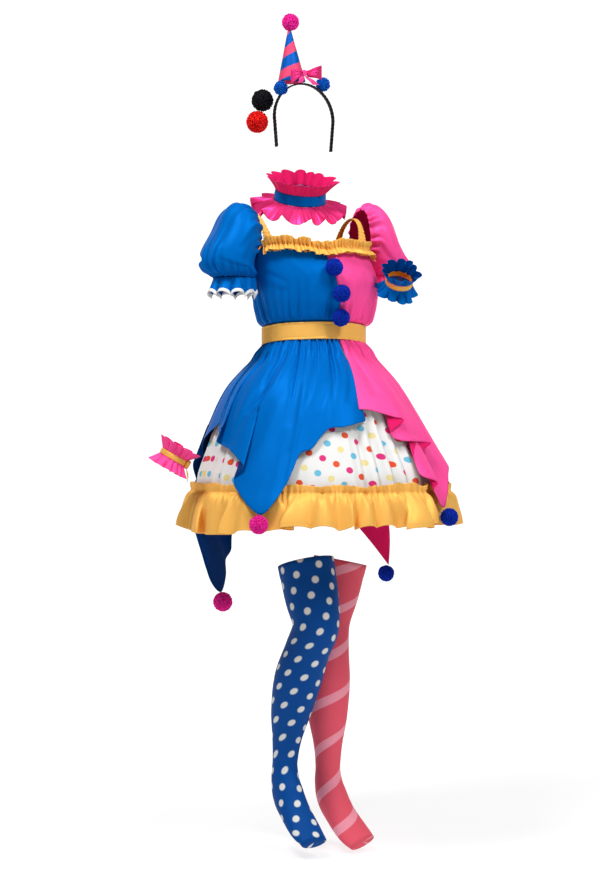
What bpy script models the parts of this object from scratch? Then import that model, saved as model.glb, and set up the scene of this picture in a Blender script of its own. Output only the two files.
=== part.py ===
"""Clown costume: a worn dress with a two-layer skirt and pompoms, a ruff collar, two cuffs, a cone hat on a
headband, two hair pompoms and two long stockings. Each sewn piece is its own closed wall of cloth.

Metres, +Z up. The origin is the centre of the waist, where the belt holds the dress on the wearer. The front
of the dress faces -Y, and +X is the wearer's left. A turn is an angle about the upright line, in degrees,
0 at the front and growing towards the wearer's left."""

import math

import bmesh
import bpy
from mathutils import Matrix, Vector

# ---- driving dimensions ----
CLOTH = 0.0015          # wall of satin and knit
THICK_CLOTH = 0.002     # wall of felt and of the doubled belt
SEAM = 0.0003           # gap between pieces that are sewn together
EDGE_LEAN = 0.00025     # how far a curved panel's inner edge leans past its outer one
RIGHT, LEFT = -1, 1     # the wearer's sides, as signs of X

BELT_HALF_HEIGHT = 0.020
BELT_SIDE, BELT_FRONT = 0.1195, 0.1035   # half width and half depth of the belt's inner face
WAIST_SIDE, WAIST_FRONT = 0.1145, 0.0985

# The line that the dress's rings are centred on.
# height, x, y
SPINE = [
    (-0.700, 0.0114, -0.0072),
    (-0.360, 0.0114, -0.0072),
    (-0.150, 0.0000, 0.0000),
    (0.090, 0.0000, 0.0000),
    (0.190, -0.0190, 0.0110),
    (0.300, -0.0260, 0.0140),
]

# height, half width, half depth at the front, half depth at the back
BODICE = [
    (0.0005, WAIST_SIDE, WAIST_FRONT, WAIST_FRONT),
    (0.0220, 0.1160, 0.1000, 0.1000),
    (0.0330, 0.1310, 0.1150, 0.1100),
    (0.0670, 0.1450, 0.1310, 0.1200),
    (0.1100, 0.1510, 0.1370, 0.1210),
    (0.1500, 0.1500, 0.1290, 0.1160),
    (0.1900, 0.1450, 0.1150, 0.1090),
]

# The seam down the bodice's front drifts to the wearer's right as it rises.
# height, turn
FRONT_SEAM = [
    (0.0005, 0.0),
    (0.0340, -1.0),
    (0.0550, -4.0),
    (0.1050, -9.0),
    (0.1900, -10.5),
]

# turn, height of the bodice's top edge: level across front and back, scooped under each arm
NECKLINE = [
    (0, 0.186),
    (60, 0.188),
    (70, 0.178),
    (80, 0.152),
    (90, 0.138),
    (100, 0.152),
    (110, 0.178),
    (120, 0.188),
    (180, 0.190),
]

# height, radius of the petticoat, radius of the overskirt, half depth as a share of half width
SKIRT = [
    (-0.0005, 0.1085, 0.1135, 0.860),
    (-0.0210, 0.1105, 0.1160, 0.862),
    (-0.0405, 0.1180, 0.1275, 0.900),
    (-0.0765, 0.1500, 0.1590, 0.950),
    (-0.1125, 0.1775, 0.1860, 0.980),
    (-0.1485, 0.1985, 0.2060, 1.000),
    (-0.1845, 0.2160, 0.2230, 1.000),
    (-0.2205, 0.2315, 0.2385, 1.000),
    (-0.2565, 0.2470, 0.2540, 1.000),
    (-0.3105, 0.2705, 0.2790, 1.000),
    (-0.3450, 0.2790, 0.2950, 1.000),
    (-0.3850, 0.2880, 0.3140, 1.000),
    (-0.4260, 0.2900, 0.3250, 1.000),
    (-0.4600, 0.2900, 0.3250, 1.000),
    (-0.5400, 0.2900, 0.3040, 1.000),
    (-0.6100, 0.2900, 0.2850, 1.000),
]

# Large upright folds of the whole skirt, at their full size at the hem.
# turn, half width in degrees, depth (inwards is negative)
SKIRT_FOLDS = [
    (-158, 10, -0.006),
    (-128, 9, 0.006),
    (-102, 9, -0.008),
    (-78, 8, 0.004),
    (-33, 9, 0.004),
    (-8, 9, -0.007),
    (16, 7, 0.012),
    (31, 8, -0.030),
    (49, 8, 0.009),
    (70, 8, -0.004),
    (92, 9, -0.007),
    (122, 9, 0.005),
    (155, 10, -0.006),
]
FOLDS_START, HEM = -0.050, -0.426

# Pointed hems of the four overskirt panels: turn and height of the hem.
BLUE_FRONT_HEM = [
    (-97, -0.200), (-90, -0.232), (-77, -0.268), (-69, -0.325), (-55, -0.399),
    (-44, -0.330), (-38, -0.272), (-24, -0.218), (0, -0.190),
]
PINK_FRONT_HEM = [
    (0, -0.176), (8, -0.200), (17, -0.210), (22, -0.262), (26, -0.330),
    (31, -0.390), (41, -0.335), (56, -0.270), (80, -0.220),
]
PINK_BACK_HEM = [
    (80, -0.220), (92, -0.250), (104, -0.305), (111, -0.370), (115, -0.458), (117, -0.541),
    (123, -0.458), (131, -0.380), (150, -0.300), (165, -0.245), (180, -0.215),
]
BLUE_BACK_HEM = [
    (-180, -0.215), (-175, -0.330), (-170, -0.480), (-164, -0.553), (-158, -0.599),
    (-151, -0.553), (-146, -0.475), (-142, -0.415), (-138, -0.350), (-120, -0.262), (-97, -0.200),
]

# Puff sleeve between its underarm line and its shoulder line, from the armhole round to the elastic.
# underarm: outward, height; shoulder: outward, height; half depth; front and back drawn in to the body
SLEEVE = [
    (0.150, 0.150, 0.146, 0.262, 0.042, 0.012),
    (0.149, 0.147, 0.164, 0.274, 0.056, 0.008),
    (0.148, 0.143, 0.190, 0.277, 0.065, 0.003),
    (0.147, 0.139, 0.220, 0.256, 0.069, 0.000),
    (0.146, 0.134, 0.244, 0.216, 0.070, 0.000),
    (0.144, 0.128, 0.257, 0.172, 0.069, 0.000),
    (0.141, 0.122, 0.256, 0.140, 0.066, 0.000),
    (0.137, 0.113, 0.2265, 0.113, 0.045, 0.000),
]
SLEEVE_END, ELASTIC_RADIUS = 0.113, 0.045
RUFFLE_START, SLEEVE_RUFFLE_DROP, SLEEVE_TRIM_DROP = 0.0015, 0.0310, 0.0400
# The left shoulder is lifted, so that sleeve sits higher and its end swings out.
# height, shift along X
SLEEVE_SHIFT = {
    RIGHT: [(0.113, -0.022), (0.277, -0.022)],
    LEFT: [(0.113, 0.020), (0.150, -0.008), (0.277, -0.024)],
}
SLEEVE_ALONG, SLEEVE_RISE = {RIGHT: 0.005, LEFT: -0.004}, {RIGHT: 0.000, LEFT: 0.020}
# The left puff is pressed in from outside.
# height, share of its reach beyond the armhole that is left
ARMHOLE = 0.146
SLEEVE_REACH = {
    RIGHT: [(0.113, 1.0), (0.277, 1.0)],
    LEFT: [(0.113, 1.0), (0.140, 0.86), (0.172, 0.75), (0.277, 0.72)],
}

BLUE, DARK_BLUE = (0.0, 0.13, 0.60, 1), (0.004, 0.008, 0.22, 1)
PINK, DEEP_PINK = (0.90, 0.05, 0.32, 1), (0.75, 0.01, 0.25, 1)
YELLOW, WHITE = (0.86, 0.42, 0.05, 1), (0.90, 0.88, 0.85, 1)
RED, BLACK = (0.62, 0.01, 0.02, 1), (0.006, 0.006, 0.008, 1)
ROSE = (0.72, 0.12, 0.20, 1)

for old in list(bpy.data.objects):
    bpy.data.objects.remove(old)
costume = bpy.data.collections.new("clown_costume")
bpy.context.scene.collection.children.link(costume)


# ---- materials ----
def material(name, colour, roughness):
    """A Principled material of one colour."""
    made = bpy.data.materials.new(name)
    made.use_nodes = True
    shader = made.node_tree.nodes["Principled BSDF"]
    shader.inputs["Base Color"].default_value = colour
    shader.inputs["Roughness"].default_value = roughness
    shader.inputs["Metallic"].default_value = 0.0
    made.diffuse_color = colour
    return made


BLUE_SATIN = material("blue_satin", BLUE, 0.35)
PINK_SATIN = material("pink_satin", PINK, 0.35)
YELLOW_SATIN = material("yellow_satin", YELLOW, 0.35)
DOTTED_SATIN = material("dotted_satin", WHITE, 0.40)
STRIPED_SATIN = material("striped_satin", PINK, 0.35)
WHITE_RIBBON = material("white_ribbon", WHITE, 0.50)
BLUE_POMPOM = material("blue_pompom", DARK_BLUE, 0.90)
PINK_POMPOM = material("pink_pompom", DEEP_PINK, 0.90)
RED_POMPOM = material("red_pompom", RED, 0.90)
BLACK_POMPOM = material("black_pompom", BLACK, 0.90)
BLACK_BAND = material("black_band", BLACK, 0.50)
DOTTED_KNIT = material("dotted_knit", BLUE, 0.70)
STRIPED_KNIT = material("striped_knit", ROSE, 0.70)


# ---- curves through tables ----
def smooth_row(table, at):
    """The table's other columns where its first is `at`: Hermite spans, their slopes the mean of both sides."""
    rows = sorted(table)
    keys = [row[0] for row in rows]
    at = min(max(at, keys[0]), keys[-1])
    span = max(i for i in range(len(rows) - 1) if keys[i] <= at)
    width = keys[span + 1] - keys[span]
    t = (at - keys[span]) / width

    def slope(i, column):
        low, high = max(i - 1, 0), min(i + 1, len(rows) - 1)
        return (rows[high][column] - rows[low][column]) / (keys[high] - keys[low])

    values = []
    for column in range(1, len(rows[0])):
        start, end = rows[span][column], rows[span + 1][column]
        leave, arrive = slope(span, column) * width, slope(span + 1, column) * width
        values.append((2 * t**3 - 3 * t**2 + 1) * start + (t**3 - 2 * t**2 + t) * leave
                      + (3 * t**2 - 2 * t**3) * end + (t**3 - t**2) * arrive)
    return values


def straight_row(table, at):
    """The table's other columns where its first is `at`, straight between rows."""
    for low, high in zip(table, table[1:]):
        if low[0] <= at <= high[0]:
            t = (at - low[0]) / (high[0] - low[0])
            return [a + (b - a) * t for a, b in zip(low[1:], high[1:])]
    raise ValueError(f"{at} is outside the table")


def spread(first, last, steps):
    """Evenly spaced values from first to last, both included."""
    return [first + (last - first) * i / steps for i in range(steps + 1)]


def spine(height):
    """Centre of the dress at a height."""
    x, y = smooth_row(SPINE, height)
    return Vector((x, y, height))


def out_of(turn):
    """Level unit vector at a turn."""
    angle = math.radians(turn)
    return Vector((math.sin(angle), -math.cos(angle), 0))


# ---- cloth ----
def cloth(name, rows, finish, closed=False, wall=CLOTH, capped=False):
    """A wall of cloth through rows of points, top row first and turns growing along a row: one quad between
    neighbours, round to the start if closed, over the last row too if capped, then Solidify to the inside."""
    mesh = bpy.data.meshes.new(name)
    bm = bmesh.new()
    made = [[bm.verts.new(point) for point in row] for row in rows]
    count = len(rows[0])
    for upper, lower in zip(made, made[1:]):
        for j in range(count if closed else count - 1):
            k = (j + 1) % count
            bm.faces.new((lower[j], lower[k], upper[k], upper[j]))
    if capped:
        tip = bm.verts.new(sum((v.co for v in made[-1]), Vector()) / count)
        for j in range(count):
            bm.faces.new((tip, made[-1][(j + 1) % count], made[-1][j]))
    bm.to_mesh(mesh)
    bm.free()
    mesh.shade_smooth()
    piece = place(name, mesh, finish)
    shell = piece.modifiers.new("wall", "SOLIDIFY")
    shell.thickness = wall
    shell.offset = -1
    return piece


def place(name, mesh, finish):
    """Put a finished mesh in the costume under its node's name."""
    mesh.materials.append(finish)
    piece = bpy.data.objects.new(name, mesh)
    costume.objects.link(piece)
    return piece


def frame_at(centre, axis, front):
    """A frame on a slanted ring: its Z is the axis, and its -Y is the front as far as the axis allows."""
    up = Vector(axis).normalized()
    back = -(Vector(front) - up * up.dot(Vector(front))).normalized()
    side = back.cross(up)
    turned = Matrix((side, back, up)).transposed().to_4x4()
    return Matrix.Translation(centre) @ turned


def ruffled_ring(name, frame, profile, waves, columns, finish):
    """A ruffle sewn round a ring. Each profile row has a radius, a height, and the half sizes of its waves
    outwards and upwards."""
    rows = []
    for radius, height, out, up in profile:
        row = []
        for j in range(waves * columns):
            wave = math.cos(2 * math.pi * j / columns)
            outward = out_of(360 * j / (waves * columns)) * (radius + out * wave)
            row.append(frame @ (outward + Vector((0, 0, height + up * wave))))
        rows.append(row)
    return cloth(name, rows, finish, closed=True)


def pompom(name, centre, radius, finish):
    """A ball of yarn: a twenty-faced core with one three-sided lock standing on each face."""
    core = 0.82
    mesh = bpy.data.meshes.new(name)
    bm = bmesh.new()
    bmesh.ops.create_icosphere(bm, subdivisions=1, radius=radius * core)
    roots = list(bm.faces)
    bmesh.ops.inset_individual(bm, faces=roots, thickness=radius * 0.045)
    bmesh.ops.poke(bm, faces=roots, offset=radius * (1 - core * 0.795))
    bmesh.ops.translate(bm, verts=bm.verts, vec=centre)
    bm.to_mesh(mesh)
    bm.free()
    return place(name, mesh, finish)


def ribbon(name, points, width, finish, closed=False, wall=CLOTH):
    """A flat strip of cloth along a row of points, spread to both sides along the width vector."""
    half = Vector(width) / 2
    rows = [[Vector(p) + half for p in points], [Vector(p) - half for p in points]]
    return cloth(name, rows, finish, closed=closed, wall=wall)


# ---- dress ----
def bodice_point(turn, height, outward=0.0):
    """Point of the bodice's outer face, or of what lies on it, moved out."""
    side, front, back = smooth_row(BODICE, height)
    way = out_of(turn)
    depth = front if way.y < 0 else back
    return spine(height) + Vector((way.x * (side + outward), way.y * (depth + outward), 0))


def neckline(turn):
    """Height of the bodice's top edge."""
    return smooth_row(NECKLINE, abs((turn + 180) % 360 - 180))[0]


def seam_turn(seam, height):
    """Turn of a bodice seam at a height: the front one leans, and the others run straight down."""
    return smooth_row(FRONT_SEAM, height)[0] if seam == 0 else seam


def bodice_panel(name, first, last, finish):
    """A quarter of the bodice from its top edge down to the waist seam inside the belt."""
    above_belt, beside_belt, waist = 0.034, 0.0215, BODICE[0][0]
    half_seam = math.degrees((SEAM / 2 + EDGE_LEAN) / WAIST_FRONT)
    rows = [[] for _ in range(7)]
    for across in spread(0, 1, 6):
        top = neckline(first + (last - first) * across)
        for row, height in zip(rows, spread(top, above_belt, 4) + [beside_belt, waist]):
            start, end = seam_turn(first, height) + half_seam, seam_turn(last, height) - half_seam
            row.append(bodice_point(start + (end - start) * across, height))
    return cloth(name, rows, finish)


def neckline_ruffle(name, first, last, waves):
    """A double-headed ruffle on the top edge: gathered along its middle, standing out above and below it."""
    # height against the top edge, how far out, half size of the waves
    profile = [(0.010, 0.0065, 0.0025), (-0.004, 0.0032, 0.0008), (-0.018, 0.0075, 0.0030)]
    rows = []
    for rise, out, wave in profile:
        row = []
        for j, turn in enumerate(spread(first, last, 2 * waves)):
            way = 1 if j % 2 else -1
            row.append(bodice_point(turn, neckline(turn) + rise, out + way * wave))
        rows.append(row)
    return cloth(name, rows, YELLOW_SATIN)


def strap(name, side):
    """A strap from the front top edge, up over the shoulder, to the back top edge."""
    width, rise = 0.012, 0.071
    inset, spring, reach = 0.122, 0.014, 0.052
    points = []
    for t in spread(0, math.pi, 8):
        height = 0.1915 + rise * math.sin(t)
        out = inset + spring * math.sin(t)
        points.append(spine(height) + Vector((side * out, -reach * math.cos(t), 0)))
    return ribbon(name, points, (side * width, 0, 0), YELLOW_SATIN)


def sleeve_point(side, outward, height, depth):
    """A sleeve's point from its distance out from the body, its height and its place along Y."""
    shift = smooth_row(SLEEVE_SHIFT[side], height)[0]
    reach = (outward - ARMHOLE) * smooth_row(SLEEVE_REACH[side], height)[0]
    return Vector((side * (ARMHOLE + reach) + shift, side * depth + SLEEVE_ALONG[side],
                   height + SLEEVE_RISE[side]))


def sleeve(name, side, finish):
    """A puff sleeve, lofted through slanted rings from the armhole round to the elastic."""
    columns = 18
    rows = []
    for under_out, under_up, over_out, over_up, depth, drawn_in in SLEEVE:
        row = []
        for j in range(columns):
            angle = 2 * math.pi * j / columns
            share = (1 + math.cos(angle)) / 2
            outward = under_out + (over_out - under_out) * share - drawn_in * math.sin(angle) ** 2
            row.append(sleeve_point(side, outward, under_up + (over_up - under_up) * share,
                                    depth * math.sin(angle)))
        rows.append(row)
    return cloth(name, rows, finish, closed=True)


def sleeve_end(name, side, drops, finish):
    """A ring below a sleeve's elastic that flares to the outside and waves more the lower it hangs."""
    waves, columns = 11, 4
    centre = (SLEEVE[-1][0] + SLEEVE[-1][2]) / 2
    rows = []
    for drop in drops:
        share = drop / SLEEVE_TRIM_DROP
        row = []
        for j in range(waves * columns):
            angle = 2 * math.pi * j / (waves * columns)
            outer = (1 + math.cos(angle)) / 2
            flare = 0.015 * share * (0.15 + 0.85 * outer)
            wave = (0.0008 + 0.0037 * share * (0.5 + 0.5 * outer)) * math.cos(waves * angle)
            radius = ELASTIC_RADIUS + flare + wave
            row.append(sleeve_point(side, centre + radius * math.cos(angle), SLEEVE_END, radius * math.sin(angle))
                       - Vector((0, 0, drop)))
        rows.append(row)
    return cloth(name, rows, finish, closed=True)


def belt():
    """The waist belt, a doubled band that stands just clear of the seam it covers."""
    columns = 32
    rows = []
    for height in spread(BELT_HALF_HEIGHT, -BELT_HALF_HEIGHT, 1):
        row = []
        for j in range(columns):
            way = out_of(360 * j / columns)
            row.append(Vector((way.x * (BELT_SIDE + THICK_CLOTH), way.y * (BELT_FRONT + THICK_CLOTH), height)))
        rows.append(row)
    return cloth("belt", rows, YELLOW_SATIN, closed=True, wall=THICK_CLOTH)


def fold_depth(turn, height):
    """How far the skirt's large folds stand out at a turn: nothing at the hips, all of it at the hem."""
    size = max(0.0, (FOLDS_START - height) / (FOLDS_START - HEM)) ** 1.3
    total = 0.0
    for middle, width, depth in SKIRT_FOLDS:
        away = (turn - middle + 180) % 360 - 180
        total += depth * math.exp(-(away / width) ** 2)
    return min(size, 1.0) * total


PETTICOAT, OVERSKIRT = 0, 1


def skirt_point(turn, height, layer, outward=0.0):
    """Point of a skirt layer's outer face, or of what lies on it, moved out."""
    columns = smooth_row(SKIRT, height)
    radius = columns[layer] + outward + fold_depth(turn, height)
    way = out_of(turn)
    return spine(height) + Vector((way.x * radius, way.y * radius * columns[2], 0))


def petticoat_gore(name, first, last):
    """A quarter of the dotted under skirt, from the waist to just inside the hem ruffle."""
    heights = [-0.0005, -0.0215, -0.0765, -0.1485, -0.2400, -0.3490]
    half_seam = math.degrees((SEAM / 2 + EDGE_LEAN) / WAIST_FRONT)
    turns = spread(first + half_seam, last - half_seam, 15)
    rows = [[skirt_point(turn, height, PETTICOAT) for turn in turns] for height in heights]
    return cloth(name, rows, DOTTED_SATIN)


def hem_ruffle():
    """The gathered ruffle on the petticoat's hem, with a short header above its gathering line."""
    waves, columns = 28, 4
    # height, how far outside the petticoat, half size of the waves
    profile = [(-0.328, 0.0052, 0.0022), (-0.345, 0.0052, 0.0008), (-0.385, 0.0080, 0.0060), (HEM, 0.0165, 0.0090)]
    rows = []
    for height, out, size in profile:
        row = []
        for j in range(waves * columns):
            wave = size * math.cos(2 * math.pi * j / columns)
            row.append(skirt_point(360 * j / (waves * columns), height, PETTICOAT, out + wave))
        rows.append(row)
    return cloth("hem_ruffle", rows, YELLOW_SATIN, closed=True)


def overskirt_panel(name, hem, steps_down, finish):
    """A quarter of the overskirt whose hem falls to one long point. Its flutes deepen towards the hem."""
    widest_step, flutes, flute_depth = 10, 3, 0.007
    first, last = hem[0][0], hem[-1][0]
    turns = [first]
    for low, high in zip(hem, hem[1:]):
        steps = math.ceil((high[0] - low[0]) / widest_step)
        turns += spread(low[0], high[0], steps)[1:]
    half_seam = math.degrees((SEAM / 2 + EDGE_LEAN) / WAIST_FRONT)
    turns[0] += half_seam
    turns[-1] -= half_seam
    rows = [[] for _ in range(steps_down + 3)]
    for turn in turns:
        heights = [-0.0008, -0.0215] + spread(-0.0405, straight_row(hem, turn)[0], steps_down)
        across = (turn - first) / (last - first)
        for row, height in zip(rows, heights):
            down = (height - heights[0]) / (heights[-1] - heights[0])
            flute = flute_depth * down**1.5 * (1 + math.cos(2 * math.pi * flutes * across)) / 2
            row.append(skirt_point(turn, height, OVERSKIRT, flute))
    return cloth(name, rows, finish)


def tip_pompom(name, turn, height, outward, radius, finish):
    """A pompom hanging at the point of an overskirt panel, outward of the hem ruffle where it meets it."""
    middle = skirt_point(turn, height, OVERSKIRT, outward)
    return pompom(name, middle, radius, finish)


bodice_panel("bodice_front_right", -90, 0, BLUE_SATIN)
bodice_panel("bodice_front_left", 0, 90, PINK_SATIN)
bodice_panel("bodice_back_left", 90, 180, PINK_SATIN)
bodice_panel("bodice_back_right", 180, 270, BLUE_SATIN)
neckline_ruffle("neckline_ruffle_front", -66, 66, 22)
neckline_ruffle("neckline_ruffle_back", 114, 246, 18)
for side, word, satin in ((RIGHT, "right", BLUE_SATIN), (LEFT, "left", PINK_SATIN)):
    strap(f"strap_{word}", side)
    sleeve(f"sleeve_{word}", side, satin)
    sleeve_end(f"sleeve_ruffle_{word}", side, (RUFFLE_START, SLEEVE_RUFFLE_DROP), satin)
    sleeve_end(f"sleeve_trim_{word}", side, (SLEEVE_RUFFLE_DROP + SEAM, SLEEVE_TRIM_DROP), WHITE_RIBBON)
belt()
petticoat_gore("petticoat_front_right", -90, 0)
petticoat_gore("petticoat_front_left", 0, 90)
petticoat_gore("petticoat_back_left", 90, 180)
petticoat_gore("petticoat_back_right", 180, 270)
hem_ruffle()
overskirt_panel("overskirt_front_right", BLUE_FRONT_HEM, 6, BLUE_SATIN)
overskirt_panel("overskirt_front_left", PINK_FRONT_HEM, 6, PINK_SATIN)
overskirt_panel("overskirt_back_left", PINK_BACK_HEM, 8, PINK_SATIN)
overskirt_panel("overskirt_back_right", BLUE_BACK_HEM, 8, BLUE_SATIN)

# turn, height, gap to the bodice
BODICE_POMPOMS = {
    "top": (-11.5, 0.1320, 0.001),
    "middle": (-8.7, 0.0755, 0.001),
    "bottom": (-5.4, 0.0245, 0.008),
}
BODICE_POMPOM = 0.0185
for word, (turn, height, clear) in BODICE_POMPOMS.items():
    middle = bodice_point(turn, height, BODICE_POMPOM + clear)
    pompom(f"bodice_pompom_{word}", middle, BODICE_POMPOM, BLUE_POMPOM)
tip_pompom("tip_pompom_front_right", -55, -0.4195, 0.0140, 0.0190, PINK_POMPOM)
tip_pompom("tip_pompom_front_left", 31, -0.4105, 0.0190, 0.0185, BLUE_POMPOM)
tip_pompom("tip_pompom_back_left", 116, -0.5610, 0.0, 0.0185, BLUE_POMPOM)
tip_pompom("tip_pompom_back_right", -158, -0.6210, 0.0, 0.0215, PINK_POMPOM)


# ---- ruff collar ----
COLLAR_TURN, COLLAR_TILT = -17, 21      # the side it dips to, and by how much
COLLAR_CENTRE = Vector((-0.028, 0.014, 0.306))
COLLAR_AXIS = (out_of(COLLAR_TURN) * math.sin(math.radians(COLLAR_TILT))
               + Vector((0, 0, math.cos(math.radians(COLLAR_TILT)))))
COLLAR_FRAME = frame_at(COLLAR_CENTRE, COLLAR_AXIS, (0, -1, 0))

# radius, height, half size of the waves outwards and upwards
ruffled_ring("collar_band", COLLAR_FRAME, [(0.0570, 0.0115, 0, 0), (0.0590, -0.0115, 0, 0)], 8, 3, BLUE_SATIN)
ruffled_ring("collar_upper_ruff", COLLAR_FRAME,
             [(0.0740, 0.0380, 0.0050, 0), (0.0570, 0.0118, 0.0006, 0)], 13, 4, PINK_SATIN)
ruffled_ring("collar_lower_ruff", COLLAR_FRAME,
             [(0.0590, -0.0118, 0.0006, 0), (0.0800, -0.0180, 0, 0.0050), (0.1060, -0.0310, 0.0030, 0.0080)],
             14, 4, PINK_SATIN)


# ---- cuffs ----
def cuff(word, centre, axis, finish):
    """A wrist cuff: a band with a ruffle above and below it. The axis points up the cuff's own height."""
    frame = frame_at(centre, axis, (0, -1, 0))
    half_band, wrist = 0.006, 0.030
    ruffled_ring(f"cuff_{word}_upper_ruffle", frame,
                 [(0.0400, 0.0270, 0.0040, 0), (wrist, half_band + SEAM, 0.0006, 0)], 9, 4, finish)
    ruffled_ring(f"cuff_{word}_band", frame,
                 [(wrist + 0.0005, half_band, 0, 0), (wrist + 0.0005, -half_band, 0, 0)], 6, 3, YELLOW_SATIN)
    ruffled_ring(f"cuff_{word}_lower_ruffle", frame,
                 [(wrist, -half_band - SEAM, 0.0006, 0), (0.0440, -0.0310, 0.0045, 0)], 9, 4, finish)
    return frame


RIGHT_CUFF = cuff("right", (-0.339, 0.035, -0.279), (0.424, -0.265, 0.870), PINK_SATIN)
cuff("left", (0.134, -0.142, 0.110), (-0.210, -0.600, 0.770), BLUE_SATIN)


def knot(name, frame, size, finish):
    """A tied knot: a small cushion-shaped block of cloth."""
    mesh = bpy.data.meshes.new(name)
    bm = bmesh.new()
    bmesh.ops.create_cube(bm, size=1, matrix=Matrix.Diagonal((*size, 1)))
    bmesh.ops.bevel(bm, geom=bm.edges, offset=min(size) * 0.3, segments=1, affect="EDGES")
    bm.transform(frame)
    bm.to_mesh(mesh)
    bm.free()
    return place(name, mesh, finish)


def bow_loop(name, frame, start, reach, slope, finish):
    """One loop of a bow: a closed band along a flat oval, wider away from the knot. The slope lifts its end."""
    steps, depth, near, far = 12, 0.012, 0.0040, 0.0100
    rows = [[], []]
    for j in range(steps):
        angle = -2 * math.pi * j / steps * math.copysign(1, reach)
        share = (1 - math.cos(angle)) / 2
        middle = Vector((start + reach * share, depth / 2 * math.sin(angle), slope * share))
        half = Vector((0, 0, near + (far - near) * share))
        rows[0].append(frame @ (middle + half))
        rows[1].append(frame @ (middle - half))
    return cloth(name, rows, finish, closed=True, wall=0.001)


def tail(name, frame, points, widths, finish):
    """A ribbon's loose end: a strip along points in the frame's upright plane, its width level."""
    rows = []
    for point, width in zip(points, widths):
        half = Vector((width / 2, 0, 0))
        rows.append([frame @ (Vector(point) - half), frame @ (Vector(point) + half)])
    return cloth(name, rows, finish, wall=0.001)


# The cuff's tie sits on the side that faces the wearer's front and left.
TIE_TURN = 62
TIE_FRAME = RIGHT_CUFF @ Matrix.Rotation(math.radians(TIE_TURN), 4, "Z") @ Matrix.Translation((0, -0.0350, 0))
knot("cuff_right_knot", TIE_FRAME, (0.013, 0.0075, 0.014), YELLOW_SATIN)
tail("cuff_right_tail", TIE_FRAME, [(0, -0.0005, -0.0078), (0.002, -0.0110, -0.018), (0.001, -0.0190, -0.032)],
     (0.008, 0.011, 0.014), YELLOW_SATIN)


# ---- hat on its headband ----
HEAD_X, HEAD_Y = -0.0155, 0.018
ARCH_CENTRE, ARCH_HALF_WIDTH, ARCH_HEIGHT, ARCH_END = 0.480, 0.076, 0.077, 0.412


def arch_point(angle, outward=0.0):
    """Point of the headband's outer face at an angle up from the wearer's left side."""
    radians = math.radians(angle)
    return Vector((HEAD_X + (ARCH_HALF_WIDTH + outward) * math.cos(radians), HEAD_Y,
                   ARCH_CENTRE + (ARCH_HEIGHT + outward) * math.sin(radians)))


def headband():
    """A narrow band over the head: half an ellipse on two legs that lean in a little."""
    lean = 0.006
    legs = [Vector((HEAD_X + way * (ARCH_HALF_WIDTH - lean), HEAD_Y, ARCH_END)) for way in (LEFT, RIGHT)]
    points = [legs[0]] + [arch_point(angle) for angle in spread(0, 180, 16)] + [legs[1]]
    return ribbon("headband", points, (0, 0.012, 0), BLACK_BAND, wall=0.0025)


headband()
HAT_HEIGHT, HAT_RADIUS, HAT_TOP, HAT_TILT = 0.115, 0.031, 0.004, 3
HAT_BASE = Vector((-0.048, HEAD_Y, 0.5600))
HAT_AXIS = Vector((-math.sin(math.radians(HAT_TILT)), 0, math.cos(math.radians(HAT_TILT))))
HAT_FRAME = frame_at(HAT_BASE, HAT_AXIS, (0, -1, 0))
ruffled_ring("hat_cone", HAT_FRAME,
             [(HAT_TOP, HAT_HEIGHT, 0, 0), ((HAT_TOP + HAT_RADIUS) / 2, HAT_HEIGHT / 2, 0, 0), (HAT_RADIUS, 0, 0, 0)],
             10, 2, STRIPED_SATIN)
HAT_POMPOM, HAT_TUFT = 0.0185, 0.0140
pompom("hat_pompom", HAT_FRAME @ Vector((0.004, 0, HAT_HEIGHT + HAT_POMPOM + SEAM)), HAT_POMPOM, PINK_POMPOM)
for word, angle in (("left", 50), ("right", 141)):
    pompom(f"hat_tuft_{word}", arch_point(angle, HAT_TUFT + 0.0022), HAT_TUFT, BLUE_POMPOM)

BOW_FRAME = frame_at((-0.040, -0.022, 0.575), (0, 0, 1), (0, -1, 0))
knot("hat_bow_knot", BOW_FRAME, (0.011, 0.009, 0.013), PINK_SATIN)
bow_loop("hat_bow_loop_left", BOW_FRAME, 0.0062, 0.040, 0.006, PINK_SATIN)
bow_loop("hat_bow_loop_right", BOW_FRAME, -0.0062, -0.028, -0.012, PINK_SATIN)
tail("hat_bow_tail_left", BOW_FRAME, [(0.004, 0, -0.0072), (0.016, -0.003, -0.015), (0.031, -0.001, -0.024)],
     (0.006, 0.010, 0.013), PINK_SATIN)
tail("hat_bow_tail_right", BOW_FRAME, [(-0.004, 0, -0.0072), (-0.008, -0.002, -0.015), (-0.012, -0.003, -0.024)],
     (0.006, 0.009, 0.011), PINK_SATIN)


# ---- hair pompoms ----
def hair_tie(word, centre, finish):
    """A pompom on a small elastic loop, which lies behind it."""
    radius, loop, cord = 0.0235, 0.013, 0.0018
    pompom(f"hair_pompom_{word}", centre, radius, finish)
    behind = Vector((0.62, 0.78, 0)).normalized()
    middle = Vector(centre) + behind * (radius + loop + cord + SEAM)
    steps, sides = 14, 4
    rows = []
    for i in range(sides):
        around = -2 * math.pi * i / sides
        reach, lift = loop + cord * math.cos(around), cord * math.sin(around)
        rows.append([middle + out_of(360 * j / steps) * reach + Vector((0, 0, lift)) for j in range(steps)])
    mesh = bpy.data.meshes.new(f"hair_loop_{word}")
    bm = bmesh.new()
    made = [[bm.verts.new(point) for point in row] for row in rows]
    for i in range(sides):
        upper, lower = made[i], made[(i + 1) % sides]
        for j in range(steps):
            k = (j + 1) % steps
            bm.faces.new((lower[j], lower[k], upper[k], upper[j]))
    bm.to_mesh(mesh)
    bm.free()
    return place(f"hair_loop_{word}", mesh, BLACK_BAND)


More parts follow.
